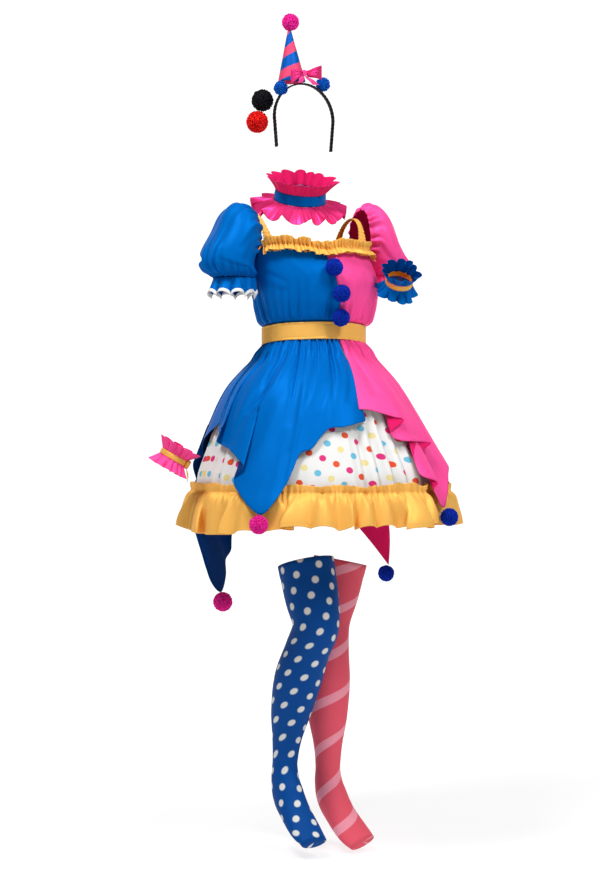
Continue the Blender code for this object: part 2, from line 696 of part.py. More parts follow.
hair_tie("black", (-0.098, 0.062, 0.5210), BLACK_POMPOM)
hair_tie("red", (-0.108, 0.068, 0.4725), RED_POMPOM)


# ---- stockings ----
# The leg's centre line and the stocking's half width and half depth, down to the pointed foot.
# x, y, z, half width, half depth
BLUE_STOCKING = [
    (-0.060, -0.060, -0.512, 0.0610, 0.0640),
    (-0.057, -0.080, -0.585, 0.0590, 0.0610),
    (-0.054, -0.092, -0.650, 0.0510, 0.0530),
    (-0.059, -0.066, -0.705, 0.0480, 0.0530),
    (-0.064, -0.033, -0.775, 0.0510, 0.0560),
    (-0.067, -0.008, -0.850, 0.0430, 0.0470),
    (-0.068, 0.006, -0.910, 0.0320, 0.0350),
    (-0.068, 0.013, -0.960, 0.0275, 0.0300),
    (-0.068, 0.013, -0.998, 0.0290, 0.0360),
    (-0.068, 0.000, -1.034, 0.0310, 0.0430),
    (-0.068, -0.030, -1.068, 0.0340, 0.0330),
    (-0.067, -0.068, -1.100, 0.0370, 0.0230),
    (-0.066, -0.104, -1.122, 0.0320, 0.0150),
]
PINK_STOCKING = [
    (0.074, 0.005, -0.516, 0.0590, 0.0630),
    (0.060, 0.010, -0.590, 0.0550, 0.0590),
    (0.048, 0.014, -0.655, 0.0480, 0.0500),
    (0.046, 0.013, -0.715, 0.0460, 0.0500),
    (0.045, 0.014, -0.790, 0.0500, 0.0540),
    (0.045, 0.013, -0.870, 0.0430, 0.0470),
    (0.045, 0.012, -0.930, 0.0320, 0.0350),
    (0.045, 0.012, -0.980, 0.0275, 0.0300),
    (0.045, 0.010, -1.016, 0.0290, 0.0360),
    (0.046, -0.004, -1.050, 0.0310, 0.0430),
    (0.049, -0.034, -1.084, 0.0340, 0.0330),
    (0.054, -0.072, -1.115, 0.0370, 0.0230),
    (0.060, -0.106, -1.136, 0.0320, 0.0150),
]


def stocking(name, path, finish):
    """A stocking in two lengths: rings square to the leg's centre line, closed over the toes. The lengths meet
    below the knee."""
    columns, meet = 16, 3
    centres = [Vector(row[:3]) for row in path]
    rows = []
    for i, (centre, sizes) in enumerate(zip(centres, path)):
        down = (centres[min(i + 1, len(path) - 1)] - centres[max(i - 1, 0)]).normalized()
        frame = frame_at(centre, -down, (0, -1, 0))
        row = []
        for j in range(columns):
            way = out_of(360 * j / columns)
            row.append(frame @ Vector((way.x * sizes[3], way.y * sizes[4], 0)))
        rows.append(row)
        if i == meet:
            start = [point + down * SEAM for point in row]
    cloth(f"{name}_thigh", rows[:meet + 1], finish, closed=True)
    cloth(f"{name}_leg", [start] + rows[meet + 1:], finish, closed=True, capped=True)


stocking("stocking_right", BLUE_STOCKING, DOTTED_KNIT)
stocking("stocking_left", PINK_STOCKING, STRIPED_KNIT)
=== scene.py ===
"""Clown costume: a worn satin dress with a pointed overskirt over a dotted petticoat, a ruff collar, two
cuffs, a cone hat on a headband, two hair pompoms and two long stockings, as fine cloth and yarn.

Metres, +Z up, the origin at the centre of the waist. The front of the dress faces -Y and +X is the wearer's
left. A turn is an angle about the upright line, in degrees, 0 at the front and growing towards that left."""

import math

import bpy
import numpy as np
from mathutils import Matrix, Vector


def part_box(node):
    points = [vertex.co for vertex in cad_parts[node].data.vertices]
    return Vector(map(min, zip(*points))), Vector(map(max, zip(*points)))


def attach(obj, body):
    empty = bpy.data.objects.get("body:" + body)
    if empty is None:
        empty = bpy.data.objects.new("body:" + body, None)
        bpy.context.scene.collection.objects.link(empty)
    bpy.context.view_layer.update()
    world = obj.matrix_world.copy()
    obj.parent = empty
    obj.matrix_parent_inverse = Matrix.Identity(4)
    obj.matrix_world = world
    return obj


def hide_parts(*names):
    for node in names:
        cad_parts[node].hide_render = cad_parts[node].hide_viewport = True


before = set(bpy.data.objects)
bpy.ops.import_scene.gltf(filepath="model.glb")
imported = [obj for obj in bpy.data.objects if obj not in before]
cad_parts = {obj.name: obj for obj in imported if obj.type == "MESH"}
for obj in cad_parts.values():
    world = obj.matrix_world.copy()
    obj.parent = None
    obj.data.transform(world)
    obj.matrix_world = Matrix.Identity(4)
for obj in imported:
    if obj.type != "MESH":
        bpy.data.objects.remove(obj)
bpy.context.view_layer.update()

# ---- camera ----
CAMERA_TURN, CAMERA_DISTANCE = -32.0, 4.2
CAMERA_ASIDE, CAMERA_HEIGHT = -0.0315, -0.243
LENS, FILM = 76.4, 36.0     # mm

facing = math.radians(CAMERA_TURN)
towards = np.array([math.sin(facing), -math.cos(facing), 0.0])
rightwards = np.array([math.cos(facing), math.sin(facing), 0.0])
upwards = np.array([0.0, 0.0, 1.0])
lens = bpy.data.cameras.new("camera")
lens.lens, lens.sensor_width = LENS, FILM
camera = bpy.data.objects.new("camera", lens)
camera.location = towards * CAMERA_DISTANCE + rightwards * CAMERA_ASIDE + upwards * CAMERA_HEIGHT
camera.rotation_euler = (math.pi / 2, 0, facing)
bpy.context.scene.collection.objects.link(camera)
bpy.context.scene.camera = camera
bpy.context.scene.view_settings.view_transform = "Standard"

# ---- the costume's sizes ----
RIGHT, LEFT = -1, 1
CLOTH, RUFFLE_CLOTH, BELT_CLOTH = 0.0010, 0.0007, 0.0018     # how thick each is
SEAM = 0.0003                                                # gap between two pieces that are sewn together

# The line that the dress's rings are centred on.
# height, x, y
SPINE = [
    (-0.700, 0.0114, -0.0072),
    (-0.360, 0.0114, -0.0072),
    (-0.150, 0.0000, 0.0000),
    (0.090, 0.0000, 0.0000),
    (0.190, -0.0190, 0.0110),
    (0.300, -0.0260, 0.0140),
]

# height, half width, half depth at the front, half depth at the back
BODICE = [
    (0.0005, 0.1145, 0.0985, 0.0985),
    (0.0185, 0.1150, 0.0990, 0.0990),
    (0.0215, 0.1240, 0.1070, 0.1050),
    (0.0250, 0.1310, 0.1140, 0.1100),
    (0.0310, 0.1360, 0.1180, 0.1130),
    (0.0420, 0.1395, 0.1225, 0.1155),
    (0.0670, 0.1450, 0.1310, 0.1200),
    (0.1100, 0.1510, 0.1370, 0.1210),
    (0.1500, 0.1500, 0.1290, 0.1160),
    (0.1900, 0.1450, 0.1150, 0.1090),
]
# Heights of the bodice's cloth just above the belt, behind the belt's edge and at the waist seam inside it.
ABOVE_BELT, BESIDE_BELT, WAIST = 0.034, 0.0185, 0.0005

# The seam down the bodice's front drifts to the wearer's right as it rises.
# height, turn
FRONT_SEAM = [(0.0005, 0.0), (0.0340, -1.0), (0.0550, -4.0), (0.1050, -9.0), (0.1900, -10.5)]
# The half gap between two panels, and what their tilted edges need, as degrees at the waist.
EDGE_LEAN, WAIST_FRONT = 0.00025, 0.0985
HALF_SEAM = math.degrees((SEAM / 2 + EDGE_LEAN) / WAIST_FRONT)

# turn, height of the bodice's top edge
NECKLINE = [
    (0, 0.186), (60, 0.188), (70, 0.178), (80, 0.152), (90, 0.138),
    (100, 0.152), (110, 0.178), (120, 0.188), (180, 0.190),
]
NECK_DIP, DIP_TURN, DIP_WIDTH = 0.009, -11, 13     # where the front seam draws the top edge down

# How the belt hangs lower at the sides and back, and the turn where it is highest. The cloth above and below
# it hangs with it, fully up to the first distance from the waist and not at all from the second.
BELT_DIP, BELT_HIGHEST = 0.0080, -15
BODICE_EASE, SKIRT_EASE = (0.030, 0.110), (0.040, 0.150)

# height, radius of the petticoat, radius of the overskirt, half depth as a share of half width
SKIRT = [
    (-0.0005, 0.1085, 0.1135, 0.860),
    (-0.0210, 0.1105, 0.1160, 0.862),
    (-0.0405, 0.1180, 0.1275, 0.900),
    (-0.0765, 0.1500, 0.1590, 0.950),
    (-0.1125, 0.1775, 0.1860, 0.980),
    (-0.1485, 0.1985, 0.2060, 1.000),
    (-0.1845, 0.2160, 0.2230, 1.000),
    (-0.2205, 0.2315, 0.2385, 1.000),
    (-0.2565, 0.2470, 0.2540, 1.000),
    (-0.3105, 0.2705, 0.2790, 1.000),
    (-0.3450, 0.2790, 0.2950, 1.000),
    (-0.3850, 0.2880, 0.3140, 1.000),
    (-0.4260, 0.2900, 0.3250, 1.000),
    (-0.4600, 0.2900, 0.3250, 1.000),
    (-0.5400, 0.2900, 0.3040, 1.000),
    (-0.6100, 0.2900, 0.2850, 1.000),
]
PETTICOAT, OVERSKIRT = 0, 1

# Large upright folds of the whole skirt, at their full size at the hem.
# turn, half width in degrees, depth (inwards is negative)
SKIRT_FOLDS = [
    (-158, 10, -0.006), (-128, 9, 0.006), (-102, 9, -0.008), (-78, 8, 0.004), (-33, 9, 0.004),
    (-8, 9, -0.007), (16, 7, 0.012), (31, 8, -0.030), (49, 8, 0.009), (70, 8, -0.004), (92, 9, -0.007),
    (122, 9, 0.005), (155, 10, -0.006),
]
FOLDS_START, HEM = -0.050, -0.426


# ---- curves and waves ----
def columns(table, at):
    """The table's other columns where its first is `at`: Hermite spans whose slopes are the mean of both
    sides."""
    rows = np.array(sorted(table), float)
    keys, values = rows[:, 0], rows[:, 1:]
    low = np.maximum(np.arange(len(keys)) - 1, 0)
    high = np.minimum(np.arange(len(keys)) + 1, len(keys) - 1)
    slopes = (values[high] - values[low]) / (keys[high] - keys[low])[:, None]
    at = np.clip(np.asarray(at, float), keys[0], keys[-1])
    span = np.clip(np.searchsorted(keys, at, side="right") - 1, 0, len(keys) - 2)
    width = (keys[span + 1] - keys[span])[..., None]
    t = (at - keys[span])[..., None] / width
    found = ((2 * t**3 - 3 * t**2 + 1) * values[span] + (t**3 - 2 * t**2 + t) * width * slopes[span]
             + (3 * t**2 - 2 * t**3) * values[span + 1] + (t**3 - t**2) * width * slopes[span + 1])
    return np.moveaxis(found, -1, 0)


def spaced(rows, last=1):
    """A table of the rows, whose first column runs evenly from 0 to last."""
    return [(i * last / (len(rows) - 1), *row) for i, row in enumerate(rows)]


def grid(rows, across):
    """Shares down, as a column, and across, as a row, both from 0 to 1."""
    return np.linspace(0, 1, rows)[:, None], np.linspace(0, 1, across)[None, :]


def ring(rows, across):
    """Shares down, as a column, and round a closed ring, as a row without its repeated end."""
    return np.linspace(0, 1, rows)[:, None], np.arange(across)[None, :] / across


def wrapped(turn):
    """The same turn between -180 and 180."""
    return (turn + 180) % 360 - 180


def out_of(turn):
    """x and y of the level unit vector at a turn."""
    angle = np.radians(turn)
    return np.sin(angle), -np.cos(angle)


def bell(x):
    """Bell curve: e to the minus x squared."""
    return np.exp(-x * x)


def ramp(x, low, high):
    """0 below low, 1 above high, with a smooth start and end."""
    t = np.clip((x - low) / (high - low), 0, 1)
    return t * t * (3 - 2 * t)


def fade(x, low, high):
    """1 below low, 0 above high, with a smooth start and end."""
    return 1 - ramp(x, low, high)


def trough(angle):
    """0 at a wave's edges and 1 in its middle."""
    return (1 - np.cos(angle)) / 2


def heads(angle):
    """Gathers in a row: rounded heads between narrow creases, as a share of their depth."""
    return np.abs(np.sin(angle / 2)) ** 0.65 - 1


def uneven(at, first, last, count, seed, spacing=0.35):
    """Waves of uneven width from first to last, drawn from the seed. Returns each place's angle in its own
    wave, a full circle a wave, and a strength from 0 to 1 that eases from one crest's to the next's and ends
    as it starts."""
    rng = np.random.default_rng(seed)
    steps = 1 + spacing * rng.uniform(-1, 1, count)
    edges = first + (last - first) * np.concatenate([[0], np.cumsum(steps)]) / steps.sum()
    strength = rng.uniform(0, 1, count + 1)
    strength[-1] = strength[0]
    wave = np.clip(np.searchsorted(edges, at, side="right") - 1, 0, count - 1)
    t = (at - edges[wave]) / (edges[wave + 1] - edges[wave])
    return 2 * np.pi * t, strength[wave] + (strength[wave + 1] - strength[wave]) * ramp(t, 0, 1)


def wandering(at, first, last, count, seed):
    """A slow uneven wander between -1 and 1."""
    angle, strength = uneven(at, first, last, count, seed)
    return (2 * strength - 1) * (0.75 + 0.25 * np.cos(angle))


def humps(turn, table):
    """Sum of soft upright folds: each is its depth times the bell curve of the turn away from its middle."""
    return sum(depth * bell(wrapped(turn - middle) / width) for middle, width, depth in table)


def creases(across, up, table):
    """Sum of soft troughs and ridges. Each is a bell curve of the distance from a bowed line, as deep as its
    depth at mid length and fading to nothing at its ends."""
    total = 0.0
    for x0, y0, x1, y1, bow, width, depth in table:
        dx, dy = x1 - x0, y1 - y0
        length = math.hypot(dx, dy)
        t = ((across - x0) * dx + (up - y0) * dy) / length**2
        side = ((up - y0) * dx - (across - x0) * dy) / length - bow * 4 * t * (1 - t)
        total = total + depth * np.sqrt(np.clip(4 * t * (1 - t), 0, 1)) * bell(side / width)
    return total


def tucks(turn, table):
    """Folds whose one side laps over the other. Across a fold the turn runs ahead, then back, then on; the
    side on top stands out and the other dips behind it. Returns the change of turn and the step outwards."""
    aside, outward = 0.0, 0.0
    for middle, width, depth, lap, side in table:
        x = wrapped(turn - middle) / width
        aside = aside - lap * width * x * bell(x)
        outward = outward + depth * (0.75 * bell(x / 1.7) - bell(x - 0.7 * side))
    return aside, outward


# ---- the dress's surfaces ----
def around(turn, height, side, front, back):
    """Points of a ring about the spine: an ellipse whose front and back half depths may differ."""
    x, y = columns(SPINE, height)
    across, along = out_of(turn)
    return np.stack([x + across * side, y + along * np.where(along < 0, front, back),
                     height + 0 * across], -1)


def belt_sag(turn):
    """How much lower the belt hangs at a turn than at the turn where it sits highest."""
    return BELT_DIP * (1 - np.cos(np.radians(turn - BELT_HIGHEST)))


def bodice_sag(turn, height):
    """How much lower the bodice's cloth hangs at a height: all of the belt's sag, easing to none."""
    return belt_sag(turn) * fade(height, *BODICE_EASE)


def bodice_level(turn, height):
    """Height on the bodice as measured from the hanging belt."""
    return height + bodice_sag(turn, height)


def skirt_level(turn, height):
    """Height on the skirt as measured from the hanging belt."""
    return height + belt_sag(turn) * fade(-height, *SKIRT_EASE)


def bodice_points(turn, height, outward=0.0):
    """Points of the bodice at a turn and a height, moved outwards."""
    side, front, back = columns(BODICE, bodice_level(turn, height))
    return around(turn, height, side + outward, front + outward, back + outward)


def neckline(turn):
    """Height of the bodice's top edge: the table's, less a bell-shaped dip at the front seam."""
    at = wrapped(turn)
    return columns(NECKLINE, np.abs(at))[0] - NECK_DIP * bell((at - DIP_TURN) / DIP_WIDTH)


def fold_share(height):
    """How much of its full size a skirt fold has at a height: nothing at the hips, all of it at the hem."""
    return np.clip((FOLDS_START - height) / (FOLDS_START - HEM), 0, 1) ** 1.3


def skirt_points(turn, height, layer, outward=0.0):
    """Points of one layer of the skirt: a ring's radius with the large folds, flattened front to back."""
    found = columns(SKIRT, skirt_level(turn, height))
    radius = found[layer] + outward + fold_share(height) * humps(turn, SKIRT_FOLDS)
    x, y = columns(SPINE, height)
    across, along = out_of(turn)
    return np.stack([x + across * radius, y + along * radius * found[2], height + 0 * across], -1)


# ---- cloth ----
def cumulated(steps, axis):
    """Lengths from the first place on: 0 and then the running sum of the steps."""
    return np.concatenate([0 * np.take(steps, [0], axis), np.cumsum(steps, axis)], axis)


def flat_uv(points, closed, looped=False):
    """The cloth's own coordinates in metres: the mean length along the rows, and along the columns."""
    points = np.concatenate([points, points[:, :1]], axis=1) if closed else points
    points = np.concatenate([points, points[:1]]) if looped else points
    along = np.linalg.norm(np.diff(points, axis=1), axis=2).mean(axis=0)
    down = np.linalg.norm(np.diff(points, axis=0), axis=2).mean(axis=1)
    return np.stack(np.broadcast_arrays(cumulated(along, 0)[None, :], -cumulated(down, 0)[:, None]), -1)


def tube_uv(points, front):
    """Coordinates in metres on a tube: each row's own length from the column at the front, and each column's
    own length down. The pattern keeps its size where the tube narrows or bends, and meets at one seam."""
    points = np.concatenate([points, points[:, :1]], axis=1)
    u = cumulated(np.linalg.norm(np.diff(points, axis=1), axis=2), 1)
    v = -cumulated(np.linalg.norm(np.diff(points, axis=0), axis=2), 0)
    return np.stack([u - u[:, front:front + 1], v], -1)


def quads(spots):
    """The corners of each cell of a grid of indices, top row first, in the order that faces outwards."""
    return np.stack([spots[1:, :-1], spots[1:, 1:], spots[:-1, 1:], spots[:-1, :-1]], -1).reshape(-1, 4)


def shown(name, mesh, finish, smooth=True):
    """A piece in the scene: the mesh with its finish."""
    if smooth:
        mesh.shade_smooth()
    mesh.materials.append(finish)
    piece = bpy.data.objects.new(name, mesh)
    bpy.context.scene.collection.objects.link(piece)
    return piece


def surface(name, points, finish, closed=False, wall=0.0, uv=None, capped=False, looped=False, shaded_reverse=None):
    """A mesh through a grid of points, top row first and turns growing along a row: one quad between
    neighbours, round to the start if closed, from the last row to the first if looped, and a fan over the
    last row if capped. The wall grows inwards, and its inner side takes the cloth's reverse finish: matte,
    and darker than the face as painted shade."""
    rows, across = points.shape[:2]
    spots = np.arange(rows * across).reshape(rows, across)
    marks = np.arange((rows + looped) * (across + closed)).reshape(rows + looped, across + closed)
    if closed:
        spots = np.hstack([spots, spots[:, :1]])
    if looped:
        spots = np.vstack([spots, spots[:1]])
    uv = flat_uv(points, closed, looped) if uv is None else uv
    made, faces = points.reshape(-1, 3).tolist(), quads(spots).tolist()
    uvs = uv.reshape(-1, 2)[quads(marks)].reshape(-1, 2)
    if capped:
        made.append(points[-1].mean(axis=0).tolist())
        last, low = spots[-1], uv.reshape(-1, 2)[marks[-1]]
        faces += [[len(made) - 1, int(b), int(a)] for a, b in zip(last[:-1], last[1:])]
        middle = (low[:-1] + low[1:]) / 2 - [0, 0.01]
        uvs = np.concatenate([uvs, np.stack([middle, low[1:], low[:-1]], 1).reshape(-1, 2)])
    mesh = bpy.data.meshes.new(name)
    mesh.from_pydata(made, [], faces)
    mesh.uv_layers.new(name="cloth").data.foreach_set("uv", uvs.astype(np.float32).ravel())
    piece = shown(name, mesh, finish)
    if wall:
        shell = piece.modifiers.new("wall", "SOLIDIFY")
        shell.thickness, shell.offset = wall, -1
        # The inner side takes the darker reverse finish, which is painted shade.
        if shaded_reverse:
            mesh.materials.append(shaded_reverse)
            shell.material_offset = 1
    return piece


def raised(points, relief, closed=False):
    """The grid moved along its own normals: the cross product of its slopes down and across."""
    down = np.gradient(points, axis=0)
    if closed:
        across = np.roll(points, -1, axis=1) - np.roll(points, 1, axis=1)
    else:
        across = np.gradient(points, axis=1)
    normal = np.cross(down, across)
    return points + normal / np.linalg.norm(normal, axis=2, keepdims=True) * relief[..., None]


def fit(piece, slot, *nodes):
    """Ties a piece to the costume's one body, in place of its solids."""
    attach(piece, "root")
    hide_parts(*nodes)


def sew(node, points, slot, flat, held, rests_on, nodes=None, area=None, wall=CLOTH, finish=None, **how):
    """A piece of cloth in place of a node, or of several; the flat size is not used."""
    piece = surface(f"{node}_cloth", points, FINISH[finish or slot], wall=wall, shaded_reverse=SHADED_REVERSE.get(slot),
                    **how)
    fit(piece, slot, *(nodes or [node]))


def globe_angles(rows, across, tip):
    """Angles of a globe's rings: down from the top, as a column that stops short of both tips, and round."""
    return np.linspace(tip, np.pi - tip, rows)[:, None], 2 * np.pi * np.arange(across)[None, :] / across


def globe(rings, tips):
    """Points and faces of a closed form: rings of points from the top down between two tips."""
    rows, across = rings.shape[:2]
    spots = np.arange(rows * across).reshape(rows, across)
    spots = np.hstack([spots, spots[:, :1]])
    top = [[rows * across, int(a), int(b)] for a, b in zip(spots[0, :-1], spots[0, 1:])]
    low = [[rows * across + 1, int(b), int(a)] for a, b in zip(spots[-1, :-1], spots[-1, 1:])]
    return np.concatenate([rings.reshape(-1, 3), tips]), quads(spots).tolist() + top + low


def framed(origin, axis, front=(0, -1, 0)):
    """Origin and unit side, back and up vectors of a slanted ring: up is the axis, and the front is minus
    back."""
    up = np.array(axis, float) / np.linalg.norm(axis)
    back = -(np.array(front, float) - up * np.dot(front, up))
    back /= np.linalg.norm(back)
    return np.array(origin, float), np.stack([np.cross(back, up), back, up])


def moved(frame_of, turn, shift=(0, 0, 0)):
    """A frame turned about its own upright axis and then shifted along its own axes."""
    origin, (side, back, up) = frame_of
    c, s = math.cos(math.radians(turn)), math.sin(math.radians(turn))
    axes = np.stack([side * c + back * s, back * c - side * s, up])
    return origin + np.array(shift) @ axes, axes


def placed(frame_of, local):
    """Local points carried into a frame."""
    origin, axes = frame_of
    return origin + local @ axes


# ---- finishes ----
class Finish:
    """A material while it is made: its nodes and links, which are its tree, and its Principled shader."""

    def __init__(self, name, colour=None):
        self.material = bpy.data.materials.new(name)
        self.material.use_nodes = True
        self.tree = self.material.node_tree
        self.shader = self.tree.nodes["Principled BSDF"]
        if colour:
            self.material.diffuse_color = colour

    def feed(self, node, inputs):
        """Gives a node its inputs: numbers are set, and sockets are linked."""
        for key, value in inputs.items():
            if isinstance(value, bpy.types.NodeSocket):
                self.tree.links.new(value, node.inputs[key])
            else:
                node.inputs[key].default_value = value

    def add(self, kind, inputs=None, **settings):
        """A new node with its settings and inputs."""
        node = self.tree.nodes.new(f"ShaderNode{kind}")
        for key, value in settings.items():
            setattr(node, key, value)
        self.feed(node, inputs or {})
        return node

    def mixed(self, share, a, b):
        """The colour between a and b."""
        return self.add("Mix", {0: share, 6: a, 7: b}, data_type="RGBA").outputs[2]

    def maths(self, operation, *values):
        """The result of one sum."""
        return self.add("Math", dict(enumerate(values)), operation=operation).outputs[0]

    def weighed(self, x, y, a, b):
        """a times x plus b times y."""
        return self.maths("ADD", self.maths("MULTIPLY", x, a), self.maths("MULTIPLY", y, b))

    def between(self, value, low, high, start=1.0, end=0.0):
        """From start to end as the value goes from low to high."""
        return self.add("MapRange", {"Value": value, "From Min": low, "From Max": high,
                                     "To Min": start, "To Max": end}).outputs[0]

    def on_cloth(self, turned=0.0, scale=(1.0, 1.0)):
        """The piece's own cloth coordinates in metres, turned by degrees and scaled."""
        flat = self.add("UVMap", uv_map="cloth")
        return self.add("Mapping", {"Vector": flat.outputs[0], "Rotation": (0, 0, math.radians(turned)),
                                    "Scale": (*scale, 1.0)}).outputs[0]

    def parts(self, place):
        """A place's X, Y and Z sockets."""
        return self.add("SeparateXYZ", {"Vector": place}).outputs

    def ribs(self, turned, scale, wobble, detail=2.0):
        """Parallel ridges on the cloth."""
        return self.add("TexWave", {"Vector": self.on_cloth(turned), "Scale": scale, "Distortion": wobble,
                                    "Detail": detail}).outputs["Fac"]

    def bump(self, height, depth, strength, under=None):
        """A normal raised by a height, whose full depth is in metres, on top of another normal."""
        inputs = {"Height": height, "Distance": depth, "Strength": strength}
        if under:
            inputs["Normal"] = under
        return self.add("Bump", inputs).outputs[0]


def tinted(colour, share):
    """A colour made lighter or darker."""
    return tuple(min(1.0, c * share) for c in colour[:3]) + (1.0,)


TWILL, CRUMPLE, SHADE = 90.0, 55.0, 16.0     # scales of the twill, the small crumples and the uneven dye
TWILL_SLANT, TWILL_DEPTH, CRUMPLE_DEPTH = 38, 0.00004, 0.0007
ROUGHNESS, GLOSS = 0.47, 0.14                # of a satin, where it has none of its own
CLOTH_SHINE = 0.08                           # specular level of satin and knit


def satin(name, colour, rough=ROUGHNESS, gloss=GLOSS, crumple=CRUMPLE_DEPTH, paint=None):
    """Satin: a dyed colour that varies softly, or what paint gives, on a fine twill with small crumples. Part
    of its gloss takes the dye's own colour."""
    look = Finish(name, colour)
    dye = look.add("TexNoise", {"Vector": look.on_cloth(), "Scale": SHADE, "Detail": 1.5}).outputs["Fac"]
    base = look.mixed(dye, tinted(colour, 0.93), tinted(colour, 1.06))
    soft = look.add("TexNoise", {"Vector": look.on_cloth(0, (1.0, 0.45)), "Scale": CRUMPLE, "Detail": 2.0,
                                 "Roughness": 0.45}).outputs["Fac"]
    twill = look.bump(look.ribs(TWILL_SLANT, TWILL, 0.4, 0.0), TWILL_DEPTH, 0.35)
    look.feed(look.shader, {
        "Base Color": paint(look, base) if paint else base, "Roughness": rough, "Metallic": gloss,
        "Specular IOR Level": CLOTH_SHINE, "Specular Tint": tinted(colour, 1.0 / max(colour[:3])),
        "Normal": look.bump(soft, crumple, 0.8, twill)})
    return look.material


def knit(name, colour, paint):
    """Fine stretch knit: columns and rows of small ribs under a painted pattern, and a soft sheen."""
    look = Finish(name, colour)
    relief = look.maths("ADD", look.ribs(0, 45.0, 0.3), look.ribs(90, 60.0, 0.3))
    look.feed(look.shader, {"Base Color": paint(look, colour), "Roughness": 0.62,
                            "Specular IOR Level": CLOTH_SHINE, "Normal": look.bump(relief, 0.0001, 0.3)})
    return look.material


def yarn(name, colour, light):
    """Yarn ends: each strand has its own tone at its tip and grows darker towards its root in the core, as
    painted shade, and a soft fuzz catches the light.
    """
    look = Finish(name, colour)
    strand = look.add("Attribute", attribute_name="strand").outputs["Fac"]
    look.feed(look.shader, {
        "Base Color": look.mixed(strand, tinted(colour, 0.8), light), "Roughness": 0.9,
        "Specular IOR Level": 0.1, "Sheen Weight": 0.8, "Sheen Roughness": 0.6, "Sheen Tint": light})
    return look.material


def wound_band(name):
    """Black satin ribbon wound slantwise round a band; the grooves between its wraps are a little darker, as
    painted shade.
    """
    look = Finish(name)
    wraps = look.ribs(25, 12.0, 0.2)
    look.feed(look.shader, {
        "Base Color": look.mixed(wraps, (0.003, 0.003, 0.004, 1), (0.010, 0.010, 0.012, 1)),
        "Roughness": 0.50, "Specular IOR Level": 0.15, "Normal": look.bump(wraps, 0.0004, 0.5)})
    return look.material


def disc(look, x, y, radius, edge):
    """1 inside a round dot and 0 outside it, with a soft edge, all in metres."""
    away = look.maths("SQRT", look.weighed(x, y, x, y))
    return look.between(away, radius - edge, radius + edge)


def lattice(look, step, row, first):
    """Cells of a slanted lattice on the cloth, from its first cell's middle, one step and one row, all in
    metres. Returns the cell's column and row, and the place from its middle in metres."""
    flat = look.parts(look.on_cloth())
    u = look.maths("SUBTRACT", flat["X"], first[0])
    v = look.maths("SUBTRACT", flat["Y"], first[1])
    spread = step[0] * row[1] - step[1] * row[0]
    across = look.weighed(u, v, row[1] / spread, -row[0] / spread)
    down = look.weighed(u, v, -step[1] / spread, step[0] / spread)
    column, line = look.maths("ROUND", across), look.maths("ROUND", down)
    x, y = look.maths("SUBTRACT", across, column), look.maths("SUBTRACT", down, line)
    return column, line, look.weighed(x, y, step[0], row[0]), look.weighed(x, y, step[1], row[1])


# The petticoat's dots: from one to the next in a row and from one row to the next, and the first dot's place.
DOT_STEP, DOT_ROW, DOT_FIRST = (0.02415, -0.01745), (-0.01855, -0.03040), (-0.1559, -0.6863)
DOT_RADIUS, DOT_EDGE = 0.0072, 0.0005
ORANGE_DOT, PINK_DOT = (0.66, 0.075, 0.025, 1), (0.60, 0.030, 0.17, 1)
YELLOW_DOT, SKY_DOT = (0.70, 0.60, 0.27, 1), (0.13, 0.43, 0.60, 1)


def petticoat_dots(look, ground):
    """Round dots on a slanted lattice: rows of orange and pink by turns, and rows of yellow and sky blue."""
    column, row, x, y = lattice(look, DOT_STEP, DOT_ROW, DOT_FIRST)
    odd_column, odd_row = (look.maths("FLOORED_MODULO", place, 2.0) for place in (column, row))
    warm = look.mixed(odd_column, ORANGE_DOT, PINK_DOT)
    cool = look.mixed(odd_column, YELLOW_DOT, SKY_DOT)
    return look.mixed(disc(look, x, y, DOT_RADIUS, DOT_EDGE), ground, look.mixed(odd_row, warm, cool))


SPOT_STEP, SPOT_ROW, SPOT_FIRST = (0.0400, -0.0180), (-0.0140, -0.0320), (0.0, -0.050)
SPOT_RADIUS, SPOT_RIM = 0.0086, 0.0014
SPOT_CREAM, RIM_GREY = (0.66, 0.66, 0.64, 1), (0.27, 0.34, 0.42, 1)


def stocking_dots(look, ground):
    """Cream dots on a slanted lattice, each with a thin grey rim."""
    _, _, x, y = lattice(look, SPOT_STEP, SPOT_ROW, SPOT_FIRST)
    rim, core = disc(look, x, y, SPOT_RADIUS, 0.0006), disc(look, x, y, SPOT_RADIUS - SPOT_RIM, 0.0007)
    return look.mixed(core, look.mixed(rim, ground, RIM_GREY), SPOT_CREAM)


STRIPE_PITCH, STRIPE_WIDTH, STRIPE_EDGE = 0.098, 0.022, 0.001
STRIPE_CLIMB = 2            # pitches that a stripe climbs in a full turn
STRIPE_SHIFT = 0.984        # ten pitches and a little, so that it stays above zero
STRIPE_PINK = (0.84, 0.30, 0.38, 1)


def stocking_stripes(look, ground):
    """Lighter bands that wind round the leg. The cloth's v climbs with them."""
    climbed = look.maths("ADD", look.parts(look.on_cloth())["Y"], STRIPE_SHIFT)
    place = look.maths("PINGPONG", climbed, STRIPE_PITCH / 2)
    band = look.between(place, STRIPE_WIDTH / 2 - STRIPE_EDGE, STRIPE_WIDTH / 2 + STRIPE_EDGE)
    return look.mixed(band, ground, STRIPE_PINK)


HAT_STRIPE_PITCH, HAT_PINK_SHARE = 0.0500, 0.46
HAT_BLUE = (0.0, 0.090, 0.40, 1)


def hat_stripes(look, ground):
    """Blue bands that wind up the cone, one for each pink one. The cloth's v runs with the stripes here."""
    place = look.maths("FLOORED_MODULO", look.parts(look.on_cloth())["Y"], HAT_STRIPE_PITCH)
    return look.mixed(look.maths("GREATER_THAN", place, HAT_STRIPE_PITCH * HAT_PINK_SHARE), ground, HAT_BLUE)
